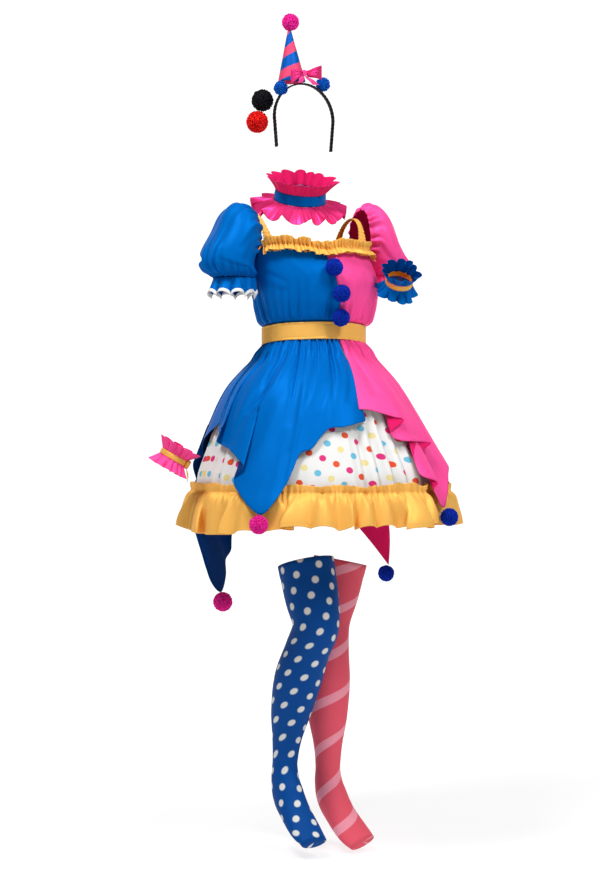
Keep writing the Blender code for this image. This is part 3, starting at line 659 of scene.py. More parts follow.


# The inner side of each satin, by its slot: matte, and much darker than its face, which is painted shade.
SHADED_REVERSE = {f"{dye}_satin": satin(f"{dye}_reverse", colour, 0.60, 0.0) for dye, colour in (
    ("blue", (0.0, 0.030, 0.160, 1)), ("pink", (0.66, 0.012, 0.115, 1)), ("yellow", (0.72, 0.25, 0.012, 1)))}
WHITE = (0.70, 0.70, 0.69, 1)
FINISH = {name: make(name, *how) for name, make, *how in (
    ("blue_satin", satin, (0.0, 0.118, 0.44, 1)),
    ("pink_satin", satin, (0.92, 0.078, 0.32, 1)),
    # A darker, glossier copy of the pink satin for the collar's ruffs and the bow's loops; its deeper colour
    # is painted shade.
    ("collar_satin", satin, (0.76, 0.036, 0.190, 1), 0.38, 0.40),
    ("yellow_satin", satin, (0.85, 0.455, 0.100, 1)),
    ("dotted_satin", satin, WHITE, 0.45, 0.0, CRUMPLE_DEPTH, petticoat_dots),
    ("striped_satin", satin, (0.70, 0.065, 0.150, 1), ROUGHNESS, GLOSS, CRUMPLE_DEPTH, hat_stripes),
    ("white_ribbon", satin, WHITE, 0.55, 0.0, 0.0004),
    ("blue_pompom", yarn, (0.004, 0.022, 0.34, 1), (0.006, 0.050, 0.62, 1)),
    ("pink_pompom", yarn, (0.97, 0.012, 0.29, 1), (1.00, 0.045, 0.52, 1)),
    ("blue_tuft", yarn, (0.0, 0.080, 0.46, 1), (0.010, 0.170, 0.72, 1)),
    ("black_pompom", yarn, (0.006, 0.006, 0.008, 1), (0.016, 0.016, 0.020, 1)),
    ("red_pompom", yarn, (0.80, 0.008, 0.010, 1), (1.00, 0.025, 0.020, 1)),
    ("black_band", wound_band),
    ("dotted_knit", knit, (0.001, 0.058, 0.265, 1), stocking_dots),
    ("striped_knit", knit, (0.74, 0.095, 0.140, 1), stocking_stripes),
)}

# ---- bodice ----
MM_A_DEGREE = 2.35      # on the bodice's surface

# Soft creases of the bodice: from and to, across from the front and up, bow and half width in mm, and depth.
BODICE_CREASES = [
    (-196, 128, -120, 96, 5, 6, -1.6), (-188, 104, -128, 82, -4, 5, -1.2), (-92, 60, -64, 118, 4, 6, -1.0),
    (-34, 46, -30, 120, -3, 7, -0.9), (-150, 44, -128, 92, 6, 5, -1.1), (38, 58, 62, 132, -5, 6, -1.2),
    (84, 50, 118, 104, 6, 7, -1.3), (132, 118, 196, 96, -6, 6, -1.5), (150, 92, 190, 74, 4, 5, -1.1),
    (-60, 150, -12, 128, 6, 7, 0.7), (20, 150, 78, 138, -5, 7, 0.7), (-110, 150, -78, 108, 5, 8, 0.8),
    (250, 60, 290, 122, 6, 7, -1.1), (330, 52, 350, 128, -5, 7, -1.0), (392, 46, 402, 118, 4, 6, -1.0),
    (-262, 58, -300, 120, 6, 7, -1.1), (-342, 50, -330, 122, 5, 7, -1.0), (-398, 60, -380, 130, -4, 6, -0.9),
]
CREASE_DEPTH = 700      # a depth in the table above is divided by this to give metres

# Upright folds of the bodice: how many go round it and how deep they are. Those at the belt begin where the
# cloth comes out from under it, between these two heights.
BELT_GATHERS, GATHER_DEPTH = 72, 0.0044
RISING_FOLDS, RISING_DEPTH = 35, 0.0110
NECK_PUCKERS, PUCKER_DEPTH = 120, 0.0012
UNDER_BELT = (0.0205, 0.026)


def seam_turn(seam, height):
    """Turn of a bodice seam at a height: the front one leans, and the others run straight down."""
    return columns(FRONT_SEAM, height)[0] if seam == 0 else seam + 0 * height


def bodice_relief(turn, height):
    """How far the bodice's cloth stands out: gathers rise from the belt, every one its own length, short
    puckers hang from the neckline, and soft creases cross the rest."""
    at = wrapped(turn)
    belt_angle, belt_size = uneven(at, -180, 180, BELT_GATHERS, 11, 0.5)
    long_angle, long_size = uneven(at, -180, 180, RISING_FOLDS, 12, 0.5)
    neck_angle, neck_size = uneven(at, -180, 180, NECK_PUCKERS, 13)
    level, drop = bodice_level(at, height), neckline(at) - height
    above = ramp(level, *UNDER_BELT)
    gathers = GATHER_DEPTH * heads(belt_angle) * (0.3 + belt_size) * above \
        * fade(level, 0.034, 0.050 + 0.03 * belt_size)
    rising = -RISING_DEPTH * trough(long_angle) * long_size**1.5 * above \
        * fade(level, 0.035, 0.080 + 0.06 * long_size)
    puckers = -PUCKER_DEPTH * trough(neck_angle) * (0.3 + neck_size) \
        * fade(drop, 0.012, 0.030 + 0.02 * neck_size)
    soft = creases(at * MM_A_DEGREE, height * 1000, BODICE_CREASES) / CREASE_DEPTH
    return gathers + rising + puckers + soft * above


def bodice_panel(node, first, last, slot):
    """A quarter of the bodice between its seams, from its top edge down to the waist seam inside the belt."""
    down, share = grid(62, 66)
    even_turn = first + (last - first) * share
    top = neckline(even_turn)
    step = np.interp(down, [0, 0.74, 0.94, 1], [0, 1, 2, 3])     # 0 at the top edge, then 1, 2 and 3
    height = np.where(step < 1, top + (ABOVE_BELT - top) * step, np.interp(
        step, [1, 2, 3], [ABOVE_BELT, BESIDE_BELT, WAIST]) + 0 * share)
    height = height - bodice_sag(even_turn, height) * ramp(height, WAIST, BESIDE_BELT)
    start, end = seam_turn(first, height) + HALF_SEAM, seam_turn(last, height) - HALF_SEAM
    turn = start + (end - start) * share
    sew(node, bodice_points(turn, height, bodice_relief(turn, height)), slot, (0.250, 0.195), "gathered",
        ["belt"])


bodice_panel("bodice_front_right", -90, 0, "blue_satin")
bodice_panel("bodice_front_left", 0, 90, "pink_satin")
bodice_panel("bodice_back_left", 90, 180, "pink_satin")
bodice_panel("bodice_back_right", 180, 270, "blue_satin")

# Height against the top edge, how far out, half size of the waves.
NECK_RUFFLE = [(0.0110, 0.0100, 0.0078), (0.0040, 0.0080, 0.0062), (-0.0040, 0.0046, 0.0028),
               (-0.0110, 0.0080, 0.0062), (-0.0190, 0.0108, 0.0078)]
NECK_GATHER, NECK_REACH = -0.004, 0.014     # height of the shirring, and how far the ruffle goes from it


def neckline_ruffle(place, first, last, waves, seed, flat):
    """A double-headed ruffle on the top edge, shirred along its middle: uneven waves that lean over as they
    rise from the shirring, above it and below it."""
    down, share = grid(17, waves * 12)
    turn = first + (last - first) * share
    rise = NECK_RUFFLE[0][0] + (NECK_RUFFLE[-1][0] - NECK_RUFFLE[0][0]) * down
    out, size = columns(NECK_RUFFLE, rise)
    angle, strength = uneven(turn, first, last, waves, seed, 0.55)
    crimp_angle, crimp = uneven(turn, first, last, waves * 2, seed + 1, 0.5)
    away = np.abs(rise - NECK_GATHER) / NECK_REACH
    angle = angle + np.where(rise > NECK_GATHER, 1.3, -1.0) * away * (strength - 0.4)
    wave = size * np.cos(angle) * (0.45 + 0.8 * strength)
    crimps = 0.0018 * np.cos(crimp_angle) * (0.5 + crimp) * (1.3 - away)
    lean = 1.5 * np.sin(angle) * away * (0.4 + strength)
    wander = wandering(turn, first, last, waves // 2, seed + 2)
    edge = away * (0.0036 * wander + 0.0024 * np.cos(angle) * strength)
    points = bodice_points(turn + lean, neckline(turn) + rise + edge, out + wave + crimps)
    sew(f"neckline_ruffle_{place}", points, "yellow_satin", flat, "gathered",
        [f"bodice_{place}_right", f"bodice_{place}_left"], wall=RUFFLE_CLOTH)


neckline_ruffle("front", -66, 66, 40, 21, (0.95, 0.032))
neckline_ruffle("back", 114, 246, 34, 25, (0.90, 0.032))

# A strap's distance from the spine at its ends and how much more at the shoulder; the height of its ends, how
# far it arches over them and half its way from front to back; its half width and how much more at its ends.
STRAP_MIDDLE, STRAP_BULGE = 0.122, 0.014
STRAP_LOW, STRAP_ARCH, STRAP_REACH = 0.1915, 0.071, 0.052
STRAP_HALF, STRAP_FLARE = 0.0060, 0.0090
STRAP_PUCKERS = 34


def strap(word, side):
    """A shirred elastic strap from the front top edge over the shoulder to the back one, along half an oval.
    It widens at its ends."""
    across, along = grid(11, 96)
    t = np.pi * along
    middle = STRAP_MIDDLE + STRAP_BULGE * np.sin(t)
    height = STRAP_LOW + STRAP_ARCH * np.sin(t) - 0.006 * (1 - np.sin(t)) ** 4
    half = STRAP_HALF + STRAP_FLARE * (1 - np.sin(t)) ** 2.5
    angle, strength = uneven(along, 0, 1, STRAP_PUCKERS, 31 + side)
    edge = 2 * across - 1
    pucker = 0.0007 * np.cos(angle) * (0.4 + strength) + 0.0010 * np.cos(angle) * np.abs(edge) ** 3
    x, y = columns(SPINE, height)
    points = np.stack([x + side * middle + half * edge, y - STRAP_REACH * np.cos(t) + 0 * across,
                       height + 0 * across], -1)
    sew(f"strap_{word}", raised(points, pucker), "yellow_satin", (0.27, 0.015), "gathered",
        ["neckline_ruffle_front", "neckline_ruffle_back"], wall=RUFFLE_CLOTH)


strap("right", RIGHT)
strap("left", LEFT)

# ---- sleeves ----
# Puff sleeve in eight rings between its underarm and shoulder lines, from the armhole round to the elastic.
# underarm: outward, height; shoulder: outward, height; half depth; front and back drawn in to the body
SLEEVE = spaced([
    (0.150, 0.150, 0.146, 0.262, 0.042, 0.012), (0.149, 0.147, 0.164, 0.274, 0.056, 0.008),
    (0.148, 0.143, 0.190, 0.277, 0.065, 0.003), (0.147, 0.139, 0.220, 0.256, 0.069, 0.000),
    (0.146, 0.134, 0.244, 0.216, 0.070, 0.000), (0.144, 0.128, 0.257, 0.172, 0.069, 0.000),
    (0.141, 0.122, 0.256, 0.140, 0.066, 0.000), (0.137, 0.113, 0.2265, 0.113, 0.045, 0.000),
], 7)
SLEEVE_END, ELASTIC_RADIUS, SLEEVE_MIDDLE = 0.113, 0.045, 0.18175
# How far below the elastic the ruffle starts and ends, and its trim ends; how many waves both have.
RUFFLE_START, RUFFLE_DROP, TRIM_DROP = 0.0015, 0.0310, 0.0400
END_WAVES, END_PINCHES = 10, 40
# The left shoulder is lifted, so that sleeve sits higher and its end swings out.
# height, shift along X
SLEEVE_SHIFT = {
    RIGHT: [(0.113, -0.022), (0.277, -0.022)],
    LEFT: [(0.113, 0.020), (0.150, -0.008), (0.277, -0.024)],
}
SLEEVE_ALONG, SLEEVE_RISE = {RIGHT: 0.005, LEFT: -0.004}, {RIGHT: 0.000, LEFT: 0.020}
# The puffs are pressed in from outside, the left one more.
# height, share of its reach beyond the armhole that is left
ARMHOLE = 0.146
SLEEVE_REACH = {
    RIGHT: [(0.113, 1.0), (0.150, 1.0), (0.172, 0.97), (0.216, 0.84), (0.250, 0.84), (0.277, 0.88)],
    LEFT: [(0.113, 1.0), (0.140, 0.86), (0.172, 0.75), (0.277, 0.72)],
}
# Folds of each puff: from and to, as tenths of the way round and rings down, bow, half width, depth in mm.
# Half way round is the underarm, and 7.5 is the front of the right sleeve and the back of the left one.
SLEEVE_FOLDS = {
    RIGHT: [(6.8, 5.5, 9.7, 5.75, -0.30, 0.22, -12.0), (7.2, 4.9, 8.8, 5.1, 0.25, 0.22, -3.5),
            (8.0, 0.6, 8.6, 3.6, 0.3, 0.22, -2.6), (9.2, 0.6, 9.4, 4.4, -0.3, 0.25, -2.4),
            (7.0, 1.2, 7.4, 4.6, 0.3, 0.25, -2.2), (6.2, 2.2, 7.2, 5.4, 0.2, 0.20, -2.6),
            (8.8, 3.8, 7.6, 5.4, 0.3, 0.22, 1.8), (9.8, 1.0, 10.0, 5.0, 0.2, 0.26, -2.0),
            (1.2, 0.8, 0.9, 4.8, 0.3, 0.25, -2.4), (2.4, 0.8, 2.2, 4.6, -0.3, 0.24, -2.4),
            (3.4, 2.0, 2.8, 5.4, 0.2, 0.22, -2.4), (1.0, 5.6, 3.4, 5.8, 0.25, 0.20, -4.0),
            (5.6, 1.0, 5.2, 5.6, 0.2, 0.3, -1.6)],
    LEFT: [(0.4, 5.5, 3.4, 5.7, 0.25, 0.22, -8.0), (2.0, 0.6, 1.6, 3.8, 0.3, 0.22, -3.0),
           (3.0, 0.8, 2.6, 4.6, -0.3, 0.24, -3.0), (0.8, 0.6, 0.8, 4.6, 0.3, 0.26, -2.6),
           (2.4, 2.6, 1.2, 5.2, 0.3, 0.22, 1.8), (9.8, 1.0, 9.8, 5.0, 0.2, 0.26, -2.0),
           (8.6, 0.8, 8.8, 4.8, 0.3, 0.25, -2.4), (7.6, 0.8, 7.6, 4.6, -0.3, 0.24, -2.4),
           (6.6, 2.0, 7.0, 5.4, 0.2, 0.22, -2.4), (6.6, 5.6, 9.4, 5.8, 0.25, 0.20, -4.0),
           (4.2, 1.2, 3.8, 5.6, 0.2, 0.3, -2.4), (5.4, 1.0, 5.2, 5.6, 0.2, 0.3, -1.6)],
}
# How many pinches run out from the armhole and up from the elastic, and their depth; how many puckers the
# elastic has, their depth, and the rings between which it begins.
TOP_PINCHES, LOW_PINCHES, PINCH_DEPTH = 20, 22, 0.0044
ELASTIC_PUCKERS, ELASTIC_DEPTH, ELASTIC_START = 62, 0.0016, (6.3, 6.75)


def sleeve_point(side, outward, height, depth):
    """A sleeve's points from their distance out from the body, their height and their place along Y."""
    shift = columns(SLEEVE_SHIFT[side], height)[0]
    reach = (outward - ARMHOLE) * columns(SLEEVE_REACH[side], height)[0]
    return np.stack([side * (ARMHOLE + reach) + shift, side * depth + SLEEVE_ALONG[side] + 0 * height,
                     height + SLEEVE_RISE[side]], -1)


def sleeve(word, side, slot, seed):
    """A puff sleeve through slanted rings: each is an ellipse between its underarm and shoulder points.
    Pinches run out from the armhole and up from the elastic, and folds cross the puff."""
    down, share = ring(56, 190)
    place, tenths = 7 * down, 10 * share
    angle = 2 * np.pi * share
    under_out, under_up, over_out, over_up, depth, drawn_in = columns(SLEEVE, place)
    outer = (1 + np.cos(angle)) / 2
    outward = under_out + (over_out - under_out) * outer - drawn_in * np.sin(angle) ** 2
    height = under_up + (over_up - under_up) * outer
    points = sleeve_point(side, outward, height, depth * np.sin(angle))
    top_angle, top_size = uneven(tenths, 0, 10, TOP_PINCHES, seed, 0.5)
    low_angle, low_size = uneven(tenths, 0, 10, LOW_PINCHES, seed + 1, 0.5)
    shirr_angle, shirr = uneven(tenths, 0, 10, ELASTIC_PUCKERS, seed + 2, 0.4)
    top = PINCH_DEPTH * np.cos(top_angle) * (0.3 + top_size) * bell((place - 0.45) / (0.7 + 1.1 * top_size))
    low = PINCH_DEPTH * np.cos(low_angle) * (0.3 + low_size) * bell((6.45 - place) / (0.5 + 0.9 * low_size))
    band = ramp(place, *ELASTIC_START)
    puckers = ELASTIC_DEPTH * np.cos(shirr_angle + 1.2 * np.cos(place * 16)) * (0.4 + shirr) * band
    folds = sum(creases(tenths + turned, place, SLEEVE_FOLDS[side]) for turned in (-10, 0, 10)) / 1000
    relief = (top + low) * (1 - 0.7 * band) * ramp(place, 0, 0.15) + puckers + folds * (1 - band)
    sew(f"sleeve_{word}", raised(points, relief, True), slot, (0.50, 0.24), "gathered", [f"strap_{word}"],
        area=0.072, closed=True)


def sleeve_end(node, side, rows, start, end, slot, flat, seed, rests_on):
    """A ring below a sleeve's elastic that flares to the outside and waves more the lower it hangs."""
    down, share = ring(rows, 240)
    drop = start + (end - start) * down
    angle = 2 * np.pi * share
    fall = drop / TRIM_DROP
    outer = (1 + np.cos(angle)) / 2
    wave_angle, strength = uneven(share, 0, 1, END_WAVES, seed)
    small_angle, small = uneven(share, 0, 1, END_PINCHES, seed + 1, 0.5)
    wave = (0.0008 + 0.0042 * fall * (0.5 + 0.5 * outer)) * np.cos(wave_angle) * (0.5 + 0.8 * strength)
    pinch = 0.0010 * np.cos(small_angle) * (0.3 + small) * fade(fall, 0.1, 0.75)
    radius = ELASTIC_RADIUS + 0.015 * fall * (0.15 + 0.85 * outer) + wave + pinch
    leant = angle + 0.10 * np.sin(wave_angle) * fall * (0.4 + strength)
    edge = 0.0025 * fall * wandering(share, 0, 1, 9, seed + 2)
    points = sleeve_point(side, SLEEVE_MIDDLE + radius * np.cos(leant), np.full_like(radius, SLEEVE_END),
                          radius * np.sin(leant))
    points[..., 2] += 0.0060 * fall * np.cos(wave_angle) * (0.5 + 0.8 * strength) - drop - edge
    sew(node, points, slot, flat, "gathered", [rests_on], closed=True, wall=RUFFLE_CLOTH)


for word, side, slot, seed in (("right", RIGHT, "blue_satin", 41), ("left", LEFT, "pink_satin", 51)):
    sleeve(word, side, slot, seed)
    sleeve_end(f"sleeve_ruffle_{word}", side, 15, RUFFLE_START, RUFFLE_DROP, slot, (0.44, 0.030), seed + 4,
               f"sleeve_{word}")
    sleeve_end(f"sleeve_trim_{word}", side, 4, RUFFLE_DROP + SEAM, TRIM_DROP, "white_ribbon", (0.46, 0.010),
               seed + 4, f"sleeve_ruffle_{word}")

# ---- belt ----
# Half width and half depth inside, the wall, half the height, and how far below the waist the front sits.
BELT_SIDE, BELT_FRONT, BELT_WALL, BELT_HALF, BELT_DROP = 0.1195, 0.1035, 0.002, 0.0190, 0.0022
STITCH_PLACE, STITCH_DEPTH = 0.74, 0.0011       # as a share of the way from the middle to an edge


def belt():
    """The doubled waist belt: a band with a stitched fold along each edge and a slight sag between."""
    down, share = ring(24, 200)
    turn = 360 * share
    height = BELT_HALF * np.cos(np.pi * down)
    edge = np.abs(height) / BELT_HALF
    stitch = -STITCH_DEPTH * bell((edge - STITCH_PLACE) / 0.05) + 0.0007 * ramp(edge, 0.76, 0.86) \
        - 0.0008 * ramp(edge, 0.94, 1)
    ripple = 0.0006 * wandering(turn, 0, 360, 34, 61) * (1 - 0.5 * edge) \
        + 0.0004 * wandering(turn, 0, 360, 90, 62)
    wander = 0.0008 * wandering(turn, 0, 360, 9, 63) - BELT_DROP - belt_sag(turn)
    across, along = out_of(turn)
    out = BELT_WALL + stitch + ripple
    points = np.stack([across * (BELT_SIDE + out), along * (BELT_FRONT + out), height + wander + 0 * out], -1)
    sew("belt", points, "yellow_satin", (0.71, 0.040), "stretched",
        ["bodice_front_right", "bodice_front_left"], closed=True, wall=BELT_CLOTH)


belt()

# ---- petticoat and its hem ruffle ----
HEADER_TOP, RUFFLE_GATHER = -0.3380, -0.3550    # heights of the hem ruffle's top edge and gathering line
PETTICOAT_TOP, PETTICOAT_END = -0.0005, -0.3600
# The petticoat's cloth as a flat sector of a ring: its outer radius, slant length a metre of height, and its
# angle as a share of a full turn.
SECTOR_RADIUS, SECTOR_SLANT, SECTOR_SHARE = 0.800, 1.07, 0.349
PETTICOAT_WAVES, PETTICOAT_DEPTH = 40, 0.0075
WAIST_PUCKERS, WAIST_DEPTH = 110, 0.0012

# Deep folds of the petticoat beside its hem: turn, half width in degrees, depth.
PETTICOAT_FOLDS = [
    (-100, 2.4, -0.003), (-89, 2.4, -0.004), (-79, 2.2, -0.004), (-10, 1.6, -0.016), (-2, 1.8, -0.017),
    (5, 1.5, -0.018), (13, 2.0, -0.016), (24, 2.4, -0.012), (62, 2.4, -0.010), (88, 2.4, -0.012),
    (118, 2.4, -0.010), (142, 2.4, -0.012), (168, 2.4, -0.010), (-166, 2.4, -0.012), (-140, 2.4, -0.010),
    (-121, 2.2, -0.010),
]


def petticoat():
    """The dotted under skirt: gathers at the waist, and soft folds that deepen downwards, less so at the
    front right, where the dots lie nearly flat."""
    down, share = ring(48, 360)
    height = PETTICOAT_TOP + (PETTICOAT_END - PETTICOAT_TOP) * down
    turn = 360 * share - 180
    angle, strength = uneven(turn, -180, 180, PETTICOAT_WAVES, 71, 0.5)
    fine_angle, fine = uneven(turn, -180, 180, WAIST_PUCKERS, 72, 0.4)
    quiet = 1 - 0.65 * bell((turn + 45) / 55) - 0.27 * bell((turn + 27) / 17)
    folds = PETTICOAT_DEPTH * (np.cos(angle) - 0.65) * (0.1 + strength) * ramp(-height, 0.05, 0.30) * quiet
    folds = folds + humps(turn, PETTICOAT_FOLDS) * ramp(-height, 0.08, 0.30)
    waist = WAIST_DEPTH * (np.cos(fine_angle) - 1) * (0.3 + fine) * fade(-height, 0.05, 0.12) \
        * ramp(-height, 0.02, 0.05)
    points = skirt_points(turn, height, PETTICOAT, folds + waist - 0.001)
    slant = SECTOR_RADIUS - (height - PETTICOAT_END) * SECTOR_SLANT
    swing = np.radians(np.arange(-180, 181)[None, :]) * SECTOR_SHARE
    uv = np.stack([slant * np.sin(swing), -slant * np.cos(swing)], -1)
    quarters = [f"petticoat_{place}" for place in ("front_right", "front_left", "back_left", "back_right")]
    sew("petticoat", points, "dotted_satin", (1.70, 0.400), "gathered", ["belt"], nodes=quarters, closed=True,
        uv=uv)


petticoat()

# Height, how far outside the petticoat, half size of the waves.
HEM_RUFFLE = [
    (-0.3380, 0.0085, 0.0042), (-0.3470, 0.0056, 0.0026), (-0.3550, 0.0024, 0.0006),
    (-0.3620, 0.0078, 0.0032), (-0.3720, 0.0118, 0.0052), (-0.3950, 0.0150, 0.0075),
    (-0.4290, 0.0180, 0.0095),
]
# Folds that lap over: middle turn, half width in degrees, depth, lap, and the side that lies on top.
HEM_LAPS = [
    (-112, 4.5, 0.019, 2.3, -1), (-91, 3.6, 0.029, 2.6, 1), (-73, 3.6, 0.029, 2.6, -1),
    (-46, 4.0, 0.026, 2.5, -1), (-20, 3.5, 0.009, 1.4, 1), (5, 4.5, 0.028, 2.5, -1),
    (15, 3.0, 0.013, 1.6, 1), (33, 5.0, 0.026, 2.5, 1), (53, 4.0, 0.015, 2.2, 1), (74, 4.0, 0.015, 2.2, -1),
    (96, 4.5, 0.018, 2.2, 1), (121, 4.5, 0.018, 2.2, -1), (147, 4.5, 0.016, 2.2, 1),
    (169, 4.5, 0.018, 2.2, -1), (-166, 4.5, 0.016, 2.2, 1), (-139, 4.5, 0.018, 2.2, -1),
]
HEM_WAVES, HEM_CRIMPS, CRIMP_DEPTH = 40, 132, 0.0040
HEM_STITCH, HEM_STITCH_DEPTH = 0.955, 0.0009    # a sewn line near the lower edge, as a share of the way down


def hem_ruffle():
    """The gathered ruffle on the petticoat's hem, with a short header above its gathering line: uneven waves
    grow out of the gathers, and a few folds lap over each other."""
    down, share = ring(40, 760)
    end = HEM_RUFFLE[-1][0]
    rise = np.interp(down, [0, 0.24, 0.42, 1], [HEADER_TOP, RUFFLE_GATHER, -0.368, end])
    turn = 360 * share - 180
    out, size = columns(HEM_RUFFLE, rise)
    out = out - 0.009 * bell((turn - 60) / 22) * ramp(-rise, 0.355, 0.400)
    fall = ramp(RUFFLE_GATHER - rise, 0, 0.070)
    angle, strength = uneven(turn, -180, 180, HEM_WAVES, 81, 0.5)
    crimp_angle, crimp = uneven(turn, -180, 180, HEM_CRIMPS, 82, 0.5)
    aside, standing = tucks(turn, HEM_LAPS)
    wave = size * np.cos(angle) * (0.25 + 1.1 * strength)
    crimps = CRIMP_DEPTH * np.cos(crimp_angle) * (0.3 + crimp) * bell((rise - RUFFLE_GATHER) / 0.018)
    lean = 1.6 * np.sin(angle) * fall * strength
    header_edge = 0.0055 * wandering(turn, -180, 180, 44, 83) + 0.0020 * np.cos(crimp_angle) * crimp
    lower_edge = 0.0065 * wandering(turn, -180, 180, 22, 84) + 0.0055 * np.cos(angle) * strength \
        - 0.016 * bell((turn + 84) / 22)
    edge = header_edge * ramp(rise, RUFFLE_GATHER, HEADER_TOP) + lower_edge * fall
    points = skirt_points(turn + (aside + lean) * fall, rise + edge, PETTICOAT,
                          out + wave + crimps + standing * fall)
    stitched = raised(points, -HEM_STITCH_DEPTH * bell((down - HEM_STITCH) / 0.010), True)
    sew("hem_ruffle", stitched, "yellow_satin", (2.70, 0.100), "gathered", ["petticoat_cloth"], closed=True,
        wall=RUFFLE_CLOTH)


hem_ruffle()

# ---- overskirt ----
# Hems of the four overskirt panels, each falling to one long point. Where the turn goes back, a fold laps.
# share across, turn, how far it stands out, height
BLUE_FRONT_HEM = [
    (0.000, -97, 0.000, -0.205), (0.050, -93, 0.006, -0.216), (0.100, -86, 0.013, -0.236),
    (0.145, -91, 0.001, -0.247), (0.190, -85, 0.000, -0.255), (0.260, -77, 0.004, -0.265),
    (0.310, -70, 0.011, -0.284), (0.345, -66, 0.014, -0.302), (0.385, -71.5, 0.004, -0.328),
    (0.430, -67, 0.001, -0.354), (0.500, -58.5, 0.004, -0.391), (0.530, -55, 0.004, -0.399),
    (0.560, -52, 0.004, -0.386), (0.620, -46.5, 0.003, -0.338), (0.670, -43.5, 0.003, -0.304),
    (0.720, -40.5, 0.003, -0.271), (0.760, -35.5, 0.003, -0.262), (0.800, -31.5, 0.003, -0.242),
    (0.840, -26, 0.004, -0.219), (0.885, -18, 0.007, -0.215), (0.935, -10, 0.005, -0.207),
    (0.972, -4, -0.003, -0.201), (1.000, -7, -0.004, -0.190),
]
PINK_FRONT_HEM = [
    (0.000, -7, 0.002, -0.177), (0.060, 0, 0.004, -0.179), (0.120, 11, 0.010, -0.192),
    (0.160, 17, 0.016, -0.200), (0.205, 8.5, 0.001, -0.226), (0.250, 12, 0.000, -0.243),
    (0.305, 25, 0.018, -0.246), (0.345, 34, 0.031, -0.251), (0.395, 18, 0.003, -0.284),
    (0.435, 15.0, 0.001, -0.318), (0.480, 23, 0.020, -0.334), (0.510, 20, 0.003, -0.352),
    (0.550, 31, 0.003, -0.390), (0.590, 36, 0.003, -0.368), (0.660, 43, 0.006, -0.320),
    (0.710, 49, 0.010, -0.296), (0.750, 45, 0.001, -0.278), (0.820, 57, 0.002, -0.262),
    (0.900, 71, 0.010, -0.240), (0.940, 66, 0.000, -0.230), (1.000, 80, 0.001, -0.222),
]
PINK_BACK_HEM = [
    (0.000, 80, 0.001, -0.222), (0.060, 86, 0.004, -0.236), (0.120, 95, 0.012, -0.256),
    (0.165, 89, 0.001, -0.268), (0.230, 100, 0.002, -0.292), (0.290, 109, 0.012, -0.330),
    (0.330, 104, 0.001, -0.350), (0.390, 114, 0.002, -0.395), (0.450, 122, 0.004, -0.455),
    (0.480, 117, 0.004, -0.530), (0.495, 116, 0.004, -0.541), (0.520, 122, 0.004, -0.510),
    (0.570, 131, 0.002, -0.455), (0.620, 138, 0.011, -0.405), (0.660, 133, 0.000, -0.375),
    (0.730, 142, 0.002, -0.330), (0.800, 152, 0.012, -0.292), (0.845, 146, 0.001, -0.280),
    (0.920, 162, 0.003, -0.246), (1.000, 180, 0.001, -0.215),
]
BLUE_BACK_HEM = [
    (0.000, -180, 0.001, -0.215), (0.080, -175, 0.008, -0.290), (0.130, -171, 0.013, -0.345),
    (0.170, -175, 0.001, -0.400), (0.225, -172.5, 0.001, -0.470), (0.270, -171.5, 0.003, -0.505),
    (0.310, -167.0, 0.003, -0.526), (0.385, -164.5, 0.003, -0.566), (0.440, -159.0, 0.003, -0.599),
    (0.490, -153.5, 0.002, -0.575), (0.540, -152.2, 0.003, -0.515), (0.590, -151.5, 0.003, -0.462),
    (0.640, -146, 0.011, -0.415), (0.685, -151, 0.001, -0.385), (0.750, -142, 0.001, -0.340),
    (0.820, -130, 0.010, -0.292), (0.860, -135, 0.001, -0.280), (0.930, -116, 0.004, -0.240),
    (1.000, -97, 0.000, -0.205),
]
UP_A_DEGREE = 4.0       # millimetres of height that count as one degree across a crease
# Long creases of each panel: from and to, as turn and height in mm, bow and half width in degrees, depth.
BLUE_FRONT_CREASES = [
    (-56, -30, -69, -190, 1.5, 1.5, -6.5), (-51, -34, -64, -200, 1.5, 2.6, 3.0),
    (-92, -30, -90, -220, -3.0, 1.6, -5.0), (-78, -34, -86, -215, -1.5, 1.4, -3.5),
    (-26, -34, -34, -190, -0.8, 2.2, -2.4), (-1, -28, -9, -165, 0.5, 1.6, -3.2),
    (-41, -30, -43, -215, 1.0, 2.6, -2.2), (-14, -30, -22, -180, 0.8, 2.4, -2.0),
    (-66, -120, -74, -280, -1.0, 2.0, -2.4), (-50, -150, -57, -380, 1.0, 3.2, 2.0),
    (-60, -240, -61, -395, 1.0, 2.4, -2.2), (-36, -120, -38, -265, 1.0, 3.0, 1.6),
]
PINK_FRONT_CREASES = [
    (6, -30, 8, -150, 0.8, 1.6, -4.0), (15, -30, 19, -190, -0.8, 1.8, -4.0),
    (27, -30, 30, -250, 0.6, 2.0, -3.5), (44, -30, 47, -230, -1.5, 2.2, -3.5),
    (60, -30, 61, -200, 1.0, 2.2, -3.0), (36, -100, 37, -330, 1.0, 3.0, 2.4),
    (72, -30, 73, -190, 1.0, 2.2, -2.5), (22, -80, 24, -230, 0.5, 2.4, 2.0),
    (52, -120, 50, -280, -1.0, 2.4, -2.6),
]
PINK_BACK_CREASES = [
    (88, -30, 90, -200, 1.0, 2.0, -3.5), (101, -30, 104, -260, 1.0, 2.0, -4.0),
    (112, -60, 113, -420, 0.8, 2.2, -3.0), (126, -30, 124, -330, -1.0, 2.2, -4.0),
    (141, -30, 140, -280, 1.5, 2.4, -3.5), (158, -30, 156, -230, -1.0, 2.2, -3.5),
    (171, -30, 170, -190, 1.0, 2.0, -3.0), (118, -160, 119, -500, 0.6, 3.0, 3.0),
    (134, -120, 133, -330, 1.0, 3.0, 2.0),
]
